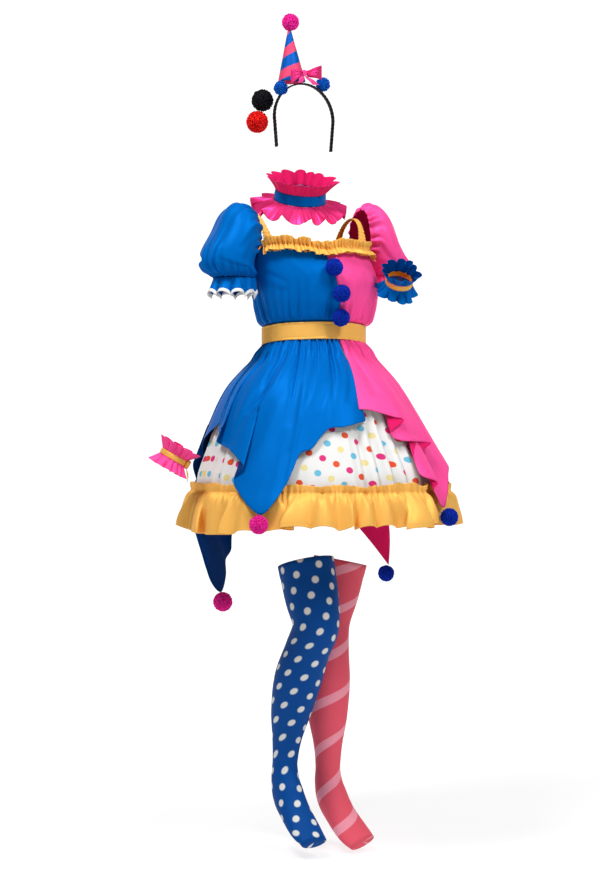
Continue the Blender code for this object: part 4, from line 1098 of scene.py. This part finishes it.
BLUE_BACK_CREASES = [
    (-174, -30, -174, -250, 0.8, 1.8, -3.5), (-164, -30, -165, -480, 1.0, 2.2, -4.0),
    (-152, -30, -152, -460, -1.0, 2.2, -4.0), (-139, -30, -140, -300, 1.0, 2.2, -4.0),
    (-125, -30, -126, -240, -1.0, 2.0, -3.5), (-110, -30, -111, -210, 1.0, 2.0, -3.5),
    (-158, -200, -158, -580, 0.6, 3.0, 3.0), (-132, -80, -132, -280, 1.0, 3.0, 2.0),
    (-146, -160, -147, -420, 0.6, 2.0, -2.5),
]
LONG_CREASE_DEPTH = 650         # a depth in the tables above is divided by this to give metres
OVERSKIRT_TOP = -0.0008
# Upright folds of a panel: how many go across it, and how deep they are.
PANEL_GATHERS, PANEL_DEPTH = 12, 0.0150
FINE_GATHERS, FINE_DEPTH = 30, 0.0130


def overskirt_panel(node, hem, waist, rows, slot, long_creases, seed, flat, area):
    """A quarter of the overskirt: gathers under the belt, every one its own length, run into long creases,
    and columns that start evenly spread at the waist bend over to their places along the hem."""
    first, last = waist[0] + HALF_SEAM, waist[1] - HALF_SEAM
    down, share = grid(rows, 150)
    hem_turn, standing, end = columns(hem, share)
    hem_turn = hem_turn + HALF_SEAM * (1 - 2 * share) * 0.4
    height = OVERSKIRT_TOP + (end - OVERSKIRT_TOP) * down
    waist_turn = first + (last - first) * share
    fall = ramp(down, 0.05, 1.05) ** 1.3
    turn = waist_turn + (hem_turn - waist_turn) * fall
    deep = -skirt_level(waist_turn, height)
    below = ramp(deep, 0.012, 0.024)
    angle, size = uneven(waist_turn, first, last, PANEL_GATHERS, seed, 0.6)
    small_angle, small = uneven(waist_turn, first, last, FINE_GATHERS, seed + 1, 0.5)
    gathers = PANEL_DEPTH * heads(angle) * (0.35 + 0.8 * size) * below \
        * fade(deep, 0.030, 0.075 + 0.15 * size**1.5)
    fine = FINE_DEPTH * heads(small_angle) * (0.3 + small) * below * fade(deep, 0.028, 0.048 + 0.04 * small)
    full = 0.0090 * bell((deep - 0.036) / 0.017) * below
    wander = wandering(waist_turn, first, last, 9, seed + 2)
    soft = 0.0030 * wander * below * ramp(-height, 0.05, 0.18)
    lines = [(x0, y0 / UP_A_DEGREE, x1, y1 / UP_A_DEGREE, *rest) for x0, y0, x1, y1, *rest in long_creases]
    folds = creases(waist_turn, height * 1000 / UP_A_DEGREE, lines) / LONG_CREASE_DEPTH
    sewn = np.clip(np.minimum(share, 1 - share) * 20, 0, 1)
    outward = 0.003 * below + (gathers + fine + full + soft + folds * below) * (0.3 + 0.7 * sewn) \
        + standing * fall * down
    sew(node, skirt_points(turn, height, OVERSKIRT, outward), slot, flat, "gathered", ["belt"], area=area)


overskirt_panel("overskirt_front_right", BLUE_FRONT_HEM, (-97, 0), 80, "blue_satin", BLUE_FRONT_CREASES, 91,
                (0.62, 0.42), 0.140)
overskirt_panel("overskirt_front_left", PINK_FRONT_HEM, (0, 80), 80, "pink_satin", PINK_FRONT_CREASES, 94,
                (0.62, 0.42), 0.120)
overskirt_panel("overskirt_back_left", PINK_BACK_HEM, (80, 180), 86, "pink_satin", PINK_BACK_CREASES, 97,
                (0.70, 0.56), 0.175)
overskirt_panel("overskirt_back_right", BLUE_BACK_HEM, (-180, -97), 86, "blue_satin", BLUE_BACK_CREASES, 100,
                (0.66, 0.62), 0.180)


# ---- ruff collar ----
COLLAR_TURN, COLLAR_TILT, COLLAR_CENTRE = -17, 21, (-0.028, 0.014, 0.306)
collar_lean = math.radians(COLLAR_TILT)
collar_way = np.array([*out_of(COLLAR_TURN), 0.0])
COLLAR_FRAME = framed(COLLAR_CENTRE, collar_way * math.sin(collar_lean) + upwards * math.cos(collar_lean))


def ruff(node, frame_of, profile, rows, waves, slot, flat, seed, rests_on, lean=2.5, uneven_by=0.35,
         crimps=90, wall=RUFFLE_CLOTH, crinkle=0.0030, finish=None):
    """A ruffle round a ring. Its profile gives, down the cloth, a radius, a height, and the half sizes of its
    waves outwards and upwards. Waves lean over as they grow, and narrow creases fade away from the seam."""
    down, share = ring(rows, waves * 24)
    radius, height, out, up = columns(spaced(profile), down)
    turn = 360 * share
    angle, strength = uneven(turn, 0, 360, waves, seed, uneven_by)
    pinch_angle, pinch = uneven(turn, 0, 360, crimps, seed + 1, 0.5)
    grown = np.hypot(out, up) / max(np.hypot(out, up).max(), 1e-6)
    size = np.cos(angle) * (0.45 + 0.9 * strength)
    fold = crinkle * heads(pinch_angle) * (0.2 + pinch) * bell(grown * (1.5 - 0.7 * pinch)) \
        * ramp(grown, 0, 0.15)
    edge = 0.0022 * grown * wandering(turn, 0, 360, waves, seed + 2)
    across, along = out_of(turn + lean * np.sin(angle) * grown * (0.4 + strength))
    reach = radius + out * size + fold + edge
    local = np.stack([across * reach, along * reach, height + up * size + 0 * turn], -1)
    sew(node, placed(frame_of, local), slot, flat, "gathered", rests_on, closed=True, wall=wall,
        finish=finish)


ruff("collar_band", COLLAR_FRAME, [(0.0570, 0.0115, 0, 0), (0.0583, 0, 0, 0), (0.0590, -0.0115, 0, 0)], 10, 8,
     "blue_satin", (0.37, 0.024), 101, ["collar_lower_ruff"], wall=CLOTH)
# Both ruffs take the darker copy of the pink satin, whose deeper colour is painted shade.
ruff("collar_upper_ruff", COLLAR_FRAME,
     [(0.0760, 0.0390, 0.0085, 0.0016), (0.0700, 0.0330, 0.0066, 0.0010), (0.0622, 0.0220, 0.0034, 0),
      (0.0570, 0.0116, 0.0006, 0)], 18, 15, "pink_satin", (0.60, 0.034), 103, ["collar_band"], uneven_by=0.6,
     crimps=70, finish="collar_satin")
ruff("collar_lower_ruff", COLLAR_FRAME,
     [(0.0590, -0.0116, 0.0006, 0), (0.0690, -0.0140, 0.0004, 0.0024), (0.0820, -0.0185, 0.0006, 0.0056),
      (0.0960, -0.0250, 0.0030, 0.0095), (0.1085, -0.0325, 0.0050, 0.0130)], 30, 13, "pink_satin",
     (0.90, 0.050), 105, ["collar_band"], lean=-4.2, uneven_by=0.6, crimps=64, crinkle=0.0085,
     finish="collar_satin")

# ---- cuffs ----
HALF_BAND, WRIST = 0.006, 0.030
# The profiles of a cuff's three rings, down the cloth.
CUFF_UPPER = [(0.0410, 0.0275, 0.0070, 0.0014), (0.0360, 0.0180, 0.0042, 0),
              (WRIST, HALF_BAND + SEAM, 0.0006, 0)]
CUFF_BAND = [(WRIST + 0.0005, HALF_BAND, 0, 0), (WRIST + 0.0012, 0, 0, 0), (WRIST + 0.0005, -HALF_BAND, 0, 0)]
CUFF_LOWER = [(WRIST, -HALF_BAND - SEAM, 0.0006, 0), (0.0370, -0.0190, 0.0046, 0),
              (0.0420, -0.0290, 0.0080, 0.0014)]
CUFF_WAVES, CUFF_LEAN, CUFF_CRIMPS = 10, 6, 44


def cuff(word, centre, axis, slot, seed):
    """A wrist cuff: a yellow band with a ruffle above and below it, round an axis that points up it."""
    frame_of = framed(centre, axis)
    upper, band, lower = (f"cuff_{word}_{part}" for part in ("upper_ruffle", "band", "lower_ruffle"))
    ruff(upper, frame_of, CUFF_UPPER, 13, CUFF_WAVES, slot, (0.34, 0.026), seed, [band], CUFF_LEAN, 0.5,
         CUFF_CRIMPS)
    ruff(band, frame_of, CUFF_BAND, 8, 6, "yellow_satin", (0.20, 0.013), seed + 3, [upper], crimps=40,
         wall=CLOTH)
    ruff(lower, frame_of, CUFF_LOWER, 14, CUFF_WAVES, slot, (0.40, 0.028), seed + 6, [band], CUFF_LEAN, 0.5,
         CUFF_CRIMPS)
    return frame_of


RIGHT_CUFF = cuff("right", (-0.339, 0.035, -0.279), (0.424, -0.265, 0.870), "pink_satin", 121)
cuff("left", (0.134, -0.142, 0.110), (-0.210, -0.600, 0.770), "blue_satin", 141)


def knot(node, frame_of, size, slot):
    """A tied knot: a cushion whose corners are rounded, with creases where the cloth is drawn in."""
    tilt, turn = globe_angles(15, 36, 0.12)

    def rounded(wave):
        """The wave pushed out towards -1 and 1, which makes a round outline squarer."""
        return np.sign(wave) * np.abs(wave) ** 0.62

    crease = 1 - 0.10 * bell(np.sin(turn * 1.5 + 0.8) / 0.35) - 0.05 * np.cos(5 * turn + 2 * np.cos(tilt))
    local = np.stack([rounded(np.sin(tilt)) * rounded(np.sin(turn)) * size[0] / 2 * crease,
                      -rounded(np.sin(tilt)) * rounded(np.cos(turn)) * size[1] / 2 * crease,
                      rounded(np.cos(tilt)) * size[2] / 2 + 0 * turn], -1)
    tips = placed(frame_of, np.array([[0, 0, size[2] / 2], [0, 0, -size[2] / 2]]))
    points, faces = globe(placed(frame_of, local), tips)
    mesh = bpy.data.meshes.new(f"{node}_cloth")
    mesh.from_pydata(points.tolist(), [], faces)
    mesh.uv_layers.new(name="cloth")
    fit(shown(f"{node}_cloth", mesh, FINISH[slot]), slot, node)


def tail(node, frame_of, path, slot, flat, knot_node):
    """A ribbon's loose end: level strips along a path of x, y, height and width, with a crease down its
    middle."""
    down, across = grid(26, 9)
    x, y, z, width = columns(spaced(path), down)
    edge = across - 0.5
    local = np.stack([x + width * edge, y - 0.0016 * bell(edge / 0.22) * ramp(1 - down, 0, 1)
                      + 0.0012 * np.sin(7 * down + 2.5 * edge), z + 0.0020 * edge * down], -1)
    sew(node, placed(frame_of, local), slot, flat, "hung", [knot_node], wall=RUFFLE_CLOTH)


# The cuff's tie sits on the side that faces the wearer's front and left.
TIE_TURN, TIE_REACH = 62, 0.0350
TIE_FRAME = moved(moved(RIGHT_CUFF, TIE_TURN), 0, (0, -TIE_REACH, 0))
knot("cuff_right_knot", TIE_FRAME, (0.018, 0.0105, 0.020), "yellow_satin")
tail("cuff_right_tail", TIE_FRAME, [(0, -0.0005, -0.0070, 0.0100), (0.0020, -0.0110, -0.0180, 0.0130),
                                    (0.0010, -0.0190, -0.0340, 0.0160)], "yellow_satin", (0.012, 0.032),
     "cuff_right_knot")

# ---- hat on its headband ----
HEAD_X, HEAD_Y = -0.0155, 0.018
ARCH_CENTRE, ARCH_HALF_WIDTH, ARCH_HEIGHT = 0.480, 0.076, 0.077
ARCH_END, END_HALF_WIDTH = 0.412, 0.070
BAND_HALF_WIDTH, BAND_CLOTH, WRAP_PITCH = 0.006, 0.0023, 0.0085


def headband():
    """A narrow band over the head, half an ellipse on two legs that lean in a little, wound with ribbon."""
    across, along = grid(9, 220)
    sweep = np.radians(np.linspace(0, 180, 33))
    x = np.concatenate([[HEAD_X + END_HALF_WIDTH], HEAD_X + ARCH_HALF_WIDTH * np.cos(sweep),
                        [HEAD_X - END_HALF_WIDTH]])
    z = np.concatenate([[ARCH_END], ARCH_CENTRE + ARCH_HEIGHT * np.sin(sweep), [ARCH_END]])
    length = cumulated(np.hypot(np.diff(x), np.diff(z)), 0)
    at = along * length[-1]
    edge = 2 * across - 1
    wraps = np.cos(2 * np.pi * (at / WRAP_PITCH + 0.35 * edge))
    points = np.stack([np.interp(at, length, x) + 0 * across, HEAD_Y - BAND_HALF_WIDTH * edge + 0 * at,
                       np.interp(at, length, z) + 0 * across], -1)
    points = raised(points, 0.00035 * wraps - 0.0011 * np.abs(edge) ** 2.4)
    fit(surface("headband_wound", points, FINISH["black_band"], wall=BAND_CLOTH), "black_band", "headband")


headband()
HAT_HEIGHT, HAT_RADIUS, HAT_TOP, HAT_TILT = 0.115, 0.031, 0.004, math.radians(3)
HAT_FRAME = framed((-0.048, HEAD_Y, 0.5600), (-math.sin(HAT_TILT), 0, math.cos(HAT_TILT)))
HAT_COLUMNS, HAT_UNROLLED, STRIPE_START = 96, 0.11, 0.035


def hat_cone():
    """The cone hat: satin drawn over a stiff cone, with slight puckers at its foot. Its cloth's v follows the
    stripes, which climb one pitch in a full turn."""
    down, share = ring(36, HAT_COLUMNS)
    height = HAT_HEIGHT * (1 - down)
    turn = 360 * share
    angle, strength = uneven(turn, 0, 360, 22, 161, 0.5)
    pucker = 0.0005 * np.cos(angle) * (0.3 + strength) * bell(height / 0.016) \
        + 0.0004 * wandering(turn + 900 * down, 0, 360, 8, 162) * np.sin(np.pi * down)
    radius = HAT_TOP + (HAT_RADIUS - HAT_TOP) * down + pucker
    across, along = out_of(turn)
    local = np.stack([across * radius, along * radius, height + 0 * radius], -1)
    u = np.arange(HAT_COLUMNS + 1)[None, :] / HAT_COLUMNS
    uv = np.stack(np.broadcast_arrays(u * HAT_UNROLLED, STRIPE_START + height - HAT_STRIPE_PITCH * u), -1)
    sew("hat_cone", placed(HAT_FRAME, local), "striped_satin", (0.200, 0.120), "stretched",
        ["headband_wound"], area=0.0128, closed=True, uv=uv)


hat_cone()
BOW_FRAME = framed((-0.040, -0.022, 0.575), (0, 0, 1))
# Half sizes of the bow's loops: front to back, up and down at the knot, and how much more at the far end.
LOOP_DEPTH, LOOP_NECK, LOOP_SPREAD = 0.0075, 0.0048, 0.0105


def bow_loop(word, start, reach, slope):
    """One loop of the bow: a closed band along a flat oval, narrow at the knot and wider away from it."""
    down, share = ring(13, 72)
    angle = -2 * np.pi * share * math.copysign(1, reach)
    out = trough(angle)
    half = LOOP_NECK + LOOP_SPREAD * out
    gather = 0.0014 * np.cos(down * 2 * np.pi * 3.2) * fade(out, 0.15, 0.9)
    local = np.stack([start + reach * out + 0 * down, LOOP_DEPTH * np.sin(angle) + gather,
                      slope * out + half * (1 - 2 * down) + 0.0008 * np.cos(3 * angle)], -1)
    # The loop takes the darker copy of the pink satin, whose deeper colour is painted shade.
    sew(f"hat_bow_loop_{word}", placed(BOW_FRAME, local), "pink_satin", (0.095, 0.022), "folded",
        ["hat_bow_knot"], area=0.0019, closed=True, wall=RUFFLE_CLOTH, finish="collar_satin")


knot("hat_bow_knot", BOW_FRAME, (0.011, 0.009, 0.013), "pink_satin")
bow_loop("left", 0.0062, 0.040, 0.006)
bow_loop("right", -0.0062, -0.028, -0.012)
tail("hat_bow_tail_left", BOW_FRAME, [(0.004, 0, -0.0068, 0.008), (0.016, -0.003, -0.015, 0.014),
                                      (0.031, -0.001, -0.024, 0.018)], "pink_satin", (0.010, 0.028),
     "hat_bow_knot")
tail("hat_bow_tail_right", BOW_FRAME, [(-0.004, 0, -0.0068, 0.008), (-0.008, -0.002, -0.015, 0.012),
                                       (-0.012, -0.003, -0.024, 0.015)], "pink_satin", (0.010, 0.018),
     "hat_bow_knot")

# A hair loop's own radius, its cord's half thickness, and the radius of the pompom that it sits behind.
LOOP_RADIUS, CORD_RADIUS, HAIR_POMPOM = 0.013, 0.0018, 0.0235
CORD_WRAPS = 24
BEHIND = np.array([0.62, 0.78, 0]) / math.hypot(0.62, 0.78)


def hair_loop(node, centre):
    """A covered elastic loop behind a hair pompom: a round cord whose cloth is wound slantwise."""
    middle = np.array(centre) + BEHIND * (HAIR_POMPOM + LOOP_RADIUS + CORD_RADIUS + SEAM)
    round_it, share = -2 * np.pi * np.arange(14)[:, None] / 14, np.arange(90)[None, :] / 90
    thick = CORD_RADIUS * (1 + 0.06 * np.cos(round_it + 2 * np.pi * CORD_WRAPS * share))
    across, along = out_of(360 * share)
    reach = LOOP_RADIUS + thick * np.cos(round_it)
    points = middle + np.stack([across * reach, along * reach, thick * np.sin(round_it) + 0 * share], -1)
    fit(surface(f"{node}_cord", points, FINISH["black_band"], closed=True, looped=True), "black_band", node)


hair_loop("hair_loop_black", (-0.098, 0.062, 0.5210))
hair_loop("hair_loop_red", (-0.108, 0.068, 0.4725))

# ---- stockings ----
# The leg's centre line down to the pointed foot: x, y, z.
BLUE_LEG = [
    (-0.060, -0.060, -0.512), (-0.057, -0.080, -0.585), (-0.054, -0.092, -0.650), (-0.059, -0.066, -0.705),
    (-0.064, -0.033, -0.775), (-0.067, -0.008, -0.850), (-0.068, 0.006, -0.910), (-0.068, 0.013, -0.960),
    (-0.068, 0.013, -0.998), (-0.068, 0.000, -1.034), (-0.068, -0.030, -1.068), (-0.067, -0.068, -1.100),
    (-0.066, -0.104, -1.122),
]
PINK_LEG = [
    (0.074, 0.005, -0.516), (0.060, 0.010, -0.590), (0.048, 0.014, -0.655), (0.046, 0.013, -0.715),
    (0.045, 0.014, -0.790), (0.045, 0.013, -0.870), (0.045, 0.012, -0.930), (0.045, 0.012, -0.980),
    (0.045, 0.010, -1.016), (0.046, -0.004, -1.050), (0.049, -0.034, -1.084), (0.054, -0.072, -1.115),
    (0.060, -0.106, -1.136),
]
# Half width and half depth at the same places: each leg's down to its calf, and the same for both below.
BLUE_THIGH = [(0.0610, 0.0640), (0.0590, 0.0610), (0.0510, 0.0530), (0.0480, 0.0530), (0.0510, 0.0560)]
PINK_THIGH = [(0.0590, 0.0630), (0.0550, 0.0590), (0.0480, 0.0500), (0.0460, 0.0500), (0.0500, 0.0540)]
CALF_TO_TOES = [(0.0430, 0.0470), (0.0320, 0.0350), (0.0275, 0.0300), (0.0290, 0.0360), (0.0310, 0.0430),
                (0.0340, 0.0330), (0.0370, 0.0230), (0.0320, 0.0150)]
# Wrinkles of a stocking: from and to, as turns and tenths of a ring down, bow, half width, depth in mm.
STOCKING_CREASES = [
    (-70, 62, -8, 66, 2, 1.6, -0.5), (-52, 70, 10, 71, -2, 1.6, -0.5), (20, 66, 80, 70, 2, 1.6, -0.5),
    (100, 30, 170, 31, 2, 2.0, -0.8), (110, 33, 190, 34, -2, 2.0, -0.7), (-60, 74, 0, 76, 2, 1.5, -0.5),
    (30, 75, 90, 73, -2, 1.5, -0.4), (120, 72, 200, 74, 2, 1.8, -0.6), (-40, 83, 30, 84, 2, 1.8, -0.6),
]
WELT, WELT_RAISED, WELT_SEAM = 0.026, 0.0009, 0.0006     # the doubled top edge: its depth, its wall, its seam
STOCKING_COLUMNS = 72
PATTERN_COLUMN = 32     # where the knit's pattern starts, near the front


def stocking(word, line, thigh, slot, seed, climb=0.0):
    """A knitted stocking: ellipses square to the leg's centre line, closed over the toes, with a doubled welt
    at its top and slight wrinkles at the knee and ankle. Its pattern's v drops by climb in a full turn."""
    down, share = ring(92, STOCKING_COLUMNS)
    place = (len(line) - 1) * down
    girths = [(*spot, *size) for spot, size in zip(line, thigh + CALF_TO_TOES)]
    x, y, z, width, depth = columns(spaced(girths, len(line) - 1), place)
    centre = np.stack([x, y, z], -1)
    up = -np.gradient(centre, axis=0)
    up /= np.linalg.norm(up, axis=2, keepdims=True)
    back = np.array([0, 1.0, 0]) - up * up[..., 1:2]
    back /= np.linalg.norm(back, axis=2, keepdims=True)
    side = np.cross(back, up)
    turn = 360 * share - 180
    across, along = out_of(turn)
    below = cumulated(np.linalg.norm(np.diff(centre[:, 0], axis=0), axis=1), 0)[:, None]
    welt = WELT_RAISED * fade(below, WELT - 0.002, WELT) - WELT_SEAM * bell((below - WELT) / 0.0012)
    wrinkles = sum(creases(turn + turned, 10 * place, STOCKING_CREASES) for turned in (0, 360)) / 1000
    relief = welt + wrinkles + 0.0003 * wandering(turn, 0, 360, 11, seed) * np.sin(place)
    points = centre + side * (across * (width + relief))[..., None] \
        + back * (along * (depth + relief))[..., None]
    uv = tube_uv(points, PATTERN_COLUMN)
    uv[..., 1] -= climb * np.arange(STOCKING_COLUMNS + 1)[None, :] / STOCKING_COLUMNS
    node = f"stocking_{word}"
    sew(node, points, slot, (0.26, 0.76), "stretched", [], nodes=[f"{node}_thigh", f"{node}_leg"], area=0.17,
        closed=True, capped=True, uv=uv)


stocking("right", BLUE_LEG, BLUE_THIGH, "dotted_knit", 181)
stocking("left", PINK_LEG, PINK_THIGH, "striped_knit", 183, STRIPE_CLIMB * STRIPE_PITCH)

# ---- pompoms ----
# How many strands a pompom has, and its core's radius and half a strand's cut end, as shares of its radius.
STRANDS, CORE, STRAND_END = 1500, 0.80, 0.072


def strands(rng, radius, loose):
    """Strands spread evenly over a ball by the golden angle, four points each: three round the cut end and
    one in the core. Each widens to its end, leans a little and ends near the ball's radius."""
    spot = np.arange(STRANDS) + 0.5
    tilt, turn = np.arccos(1 - 2 * spot / STRANDS), np.pi * (1 + 5**0.5) * spot
    way = np.stack([np.cos(turn) * np.sin(tilt), np.sin(turn) * np.sin(tilt), np.cos(tilt)], -1)
    tip = way + rng.normal(0, 0.10 * loose, (STRANDS, 3))
    tip /= np.linalg.norm(tip, axis=1, keepdims=True)
    length = 1.03 + 0.045 * loose * rng.standard_normal((STRANDS, 1)).clip(-2.5, 1.6)
    side = np.cross(tip, [0.3, 0.5, 0.81])
    side /= np.linalg.norm(side, axis=1, keepdims=True)
    other = np.cross(tip, side)
    corner = 2 * np.pi * (np.arange(3)[None, :] / 3 + rng.uniform(0, 1, (STRANDS, 1)))
    cut = np.cos(corner)[..., None] * side[:, None] + np.sin(corner)[..., None] * other[:, None]
    ends = (tip * length)[:, None] + STRAND_END * rng.uniform(0.7, 1.15, (STRANDS, 1, 1)) * cut
    return np.concatenate([radius * ends, radius * (CORE - 0.1) * way[:, None]], axis=1)


def rough_core(rng, radius):
    """Rings of the pompom's core: a ball whose radius varies by a twentieth."""
    rise, round_it = globe_angles(10, 20, 0.16)
    core = CORE * radius * (1 + rng.uniform(-0.05, 0.05, (10, 20)))
    return np.stack([core * np.sin(rise) * np.sin(round_it), -core * np.sin(rise) * np.cos(round_it),
                     core * np.cos(rise)], -1)


def pompom(node, slot, seed, finish=None, loose=1.0, aside=(0, 0, 0)):
    """A ball of cut yarn in the box of its solid: a rough core, and strands that stand out all over it."""
    rng = np.random.default_rng(seed)
    low, high = (np.array(corner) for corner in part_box(node))
    centre, radius = (low + high) / 2 + aside, (high - low).max() / 2
    spikes = strands(rng, radius, loose) + centre
    poles = centre + np.array([[0, 0, CORE * radius], [0, 0, -CORE * radius]])
    points, faces = globe(rough_core(rng, radius) + centre, poles)
    first = len(points) + 4 * np.arange(STRANDS)[:, None, None]
    sides = first + np.array([[0, 1, 2], [0, 3, 1], [1, 3, 2], [2, 3, 0]])
    mesh = bpy.data.meshes.new(f"{node}_yarn")
    mesh.from_pydata(np.concatenate([points, spikes.reshape(-1, 3)]).tolist(), [],
                     faces + sides.reshape(-1, 3).tolist())
    # Each strand's tip gets its own random tone; its root and the core get none, so they take the darker
    # colour as painted shade.
    tone_and_root_shade = np.concatenate([np.zeros(len(points)), (rng.uniform(0, 1, (STRANDS, 1)) * [1, 1, 1, 0]).ravel()])
    mesh.attributes.new("strand", "FLOAT", "POINT").data.foreach_set("value", tone_and_root_shade.astype(np.float32))
    fit(shown(f"{node}_yarn", mesh, FINISH[finish or slot], smooth=False), slot, node)


# How far each tuft leans from its root on the headband, in metres: one towards the bow, the other to the hat.
TUFT_LEANS = {"hat_tuft_left": (-0.0058, 0.0036, 0.0125), "hat_tuft_right": (0.0076, -0.0048, 0.0040)}
POMPOMS = [
    ("bodice_pompom_top", "blue"), ("bodice_pompom_middle", "blue"), ("bodice_pompom_bottom", "blue"),
    ("tip_pompom_front_right", "pink"), ("tip_pompom_front_left", "blue"), ("tip_pompom_back_left", "blue"),
    ("tip_pompom_back_right", "pink"), ("hat_pompom", "pink"), ("hat_tuft_left", "blue"),
    ("hat_tuft_right", "blue"), ("hair_pompom_black", "black"), ("hair_pompom_red", "red"),
]
for count, (node, dye) in enumerate(POMPOMS):
    tuft = ("blue_tuft", 3.0, TUFT_LEANS[node]) if node in TUFT_LEANS else ()
    pompom(node, f"{dye}_pompom", 201 + count, *tuft)

# ---- floor, backdrop and light ----
# The floor runs from before the costume to the foot of a wall behind it, and bends up into the wall.
FLOOR, FLOOR_START, BACKDROP, BEND, WALL_TOP, HALF_BREADTH = -1.160, -12.0, 8.0, 1.2, 7.0, 12
# Between the first two Ys, the floor's own light grows from the first strength to the second.
GLOW_PLACE, GLOW = (0.5, 2.0), (0.74, 0.95)


def backdrop():
    """A pale floor that curves up into a wall behind the costume."""
    sweep, along = grid(24, 2)
    angle = sweep * np.pi / 2
    depth = np.where(sweep < 1, BACKDROP - BEND + BEND * np.sin(angle), BACKDROP)
    height = FLOOR + BEND * (1 - np.cos(angle))
    depth = np.concatenate([[FLOOR_START], depth[:, 0], [BACKDROP]])[:, None, None]
    height = np.concatenate([[FLOOR], height[:, 0], [WALL_TOP]])[:, None, None]
    aside = (-HALF_BREADTH + 2 * HALF_BREADTH * along)[..., None]
    look = Finish("pale_floor")
    shade = look.add("TexNoise", {"Scale": 3.0, "Detail": 2.0}).outputs["Fac"]
    place = look.parts(look.add("TexCoord").outputs["Object"])
    glow = look.between(place["Y"], *GLOW_PLACE, *GLOW)
    look.feed(look.shader, {
        "Base Color": look.mixed(shade, (0.27, 0.27, 0.27, 1), (0.29, 0.29, 0.29, 1)), "Roughness": 0.8,
        "Emission Color": (1, 1, 1, 1), "Emission Strength": glow})
    points = -towards * depth + rightwards * aside + upwards * height
    surface("backdrop", points[::-1], look.material)


LIGHT_AIM = np.array([0, 0, -0.2])


def soft_light(name, aside, near, height, size, power):
    """A square soft light, aimed at the costume."""
    data = bpy.data.lights.new(name, "AREA")
    data.shape, data.size, data.energy = "SQUARE", size, power
    lamp = bpy.data.objects.new(name, data)
    place = towards * near + rightwards * aside + upwards * height
    away = place - LIGHT_AIM
    turn, rise = math.atan2(away[1], away[0]), math.atan2(away[2], math.hypot(away[0], away[1]))
    lamp.location = place
    lamp.rotation_euler = (math.pi / 2 - rise, 0, turn + math.pi / 2)
    bpy.context.scene.collection.objects.link(lamp)


backdrop()
soft_light("key", -1.5, 1.9, 3.7, 1.2, 170)
soft_light("second", 2.0, 2.3, 2.9, 1.4, 118)
soft_light("fill", 0.2, 3.8, 0.4, 2.0, 6)
sky = bpy.data.worlds.new("studio")
sky.use_nodes = True
sky.node_tree.nodes["Background"].inputs["Color"].default_value = (1, 1, 1, 1)
sky.node_tree.nodes["Background"].inputs["Strength"].default_value = 0.09
bpy.context.scene.world = sky
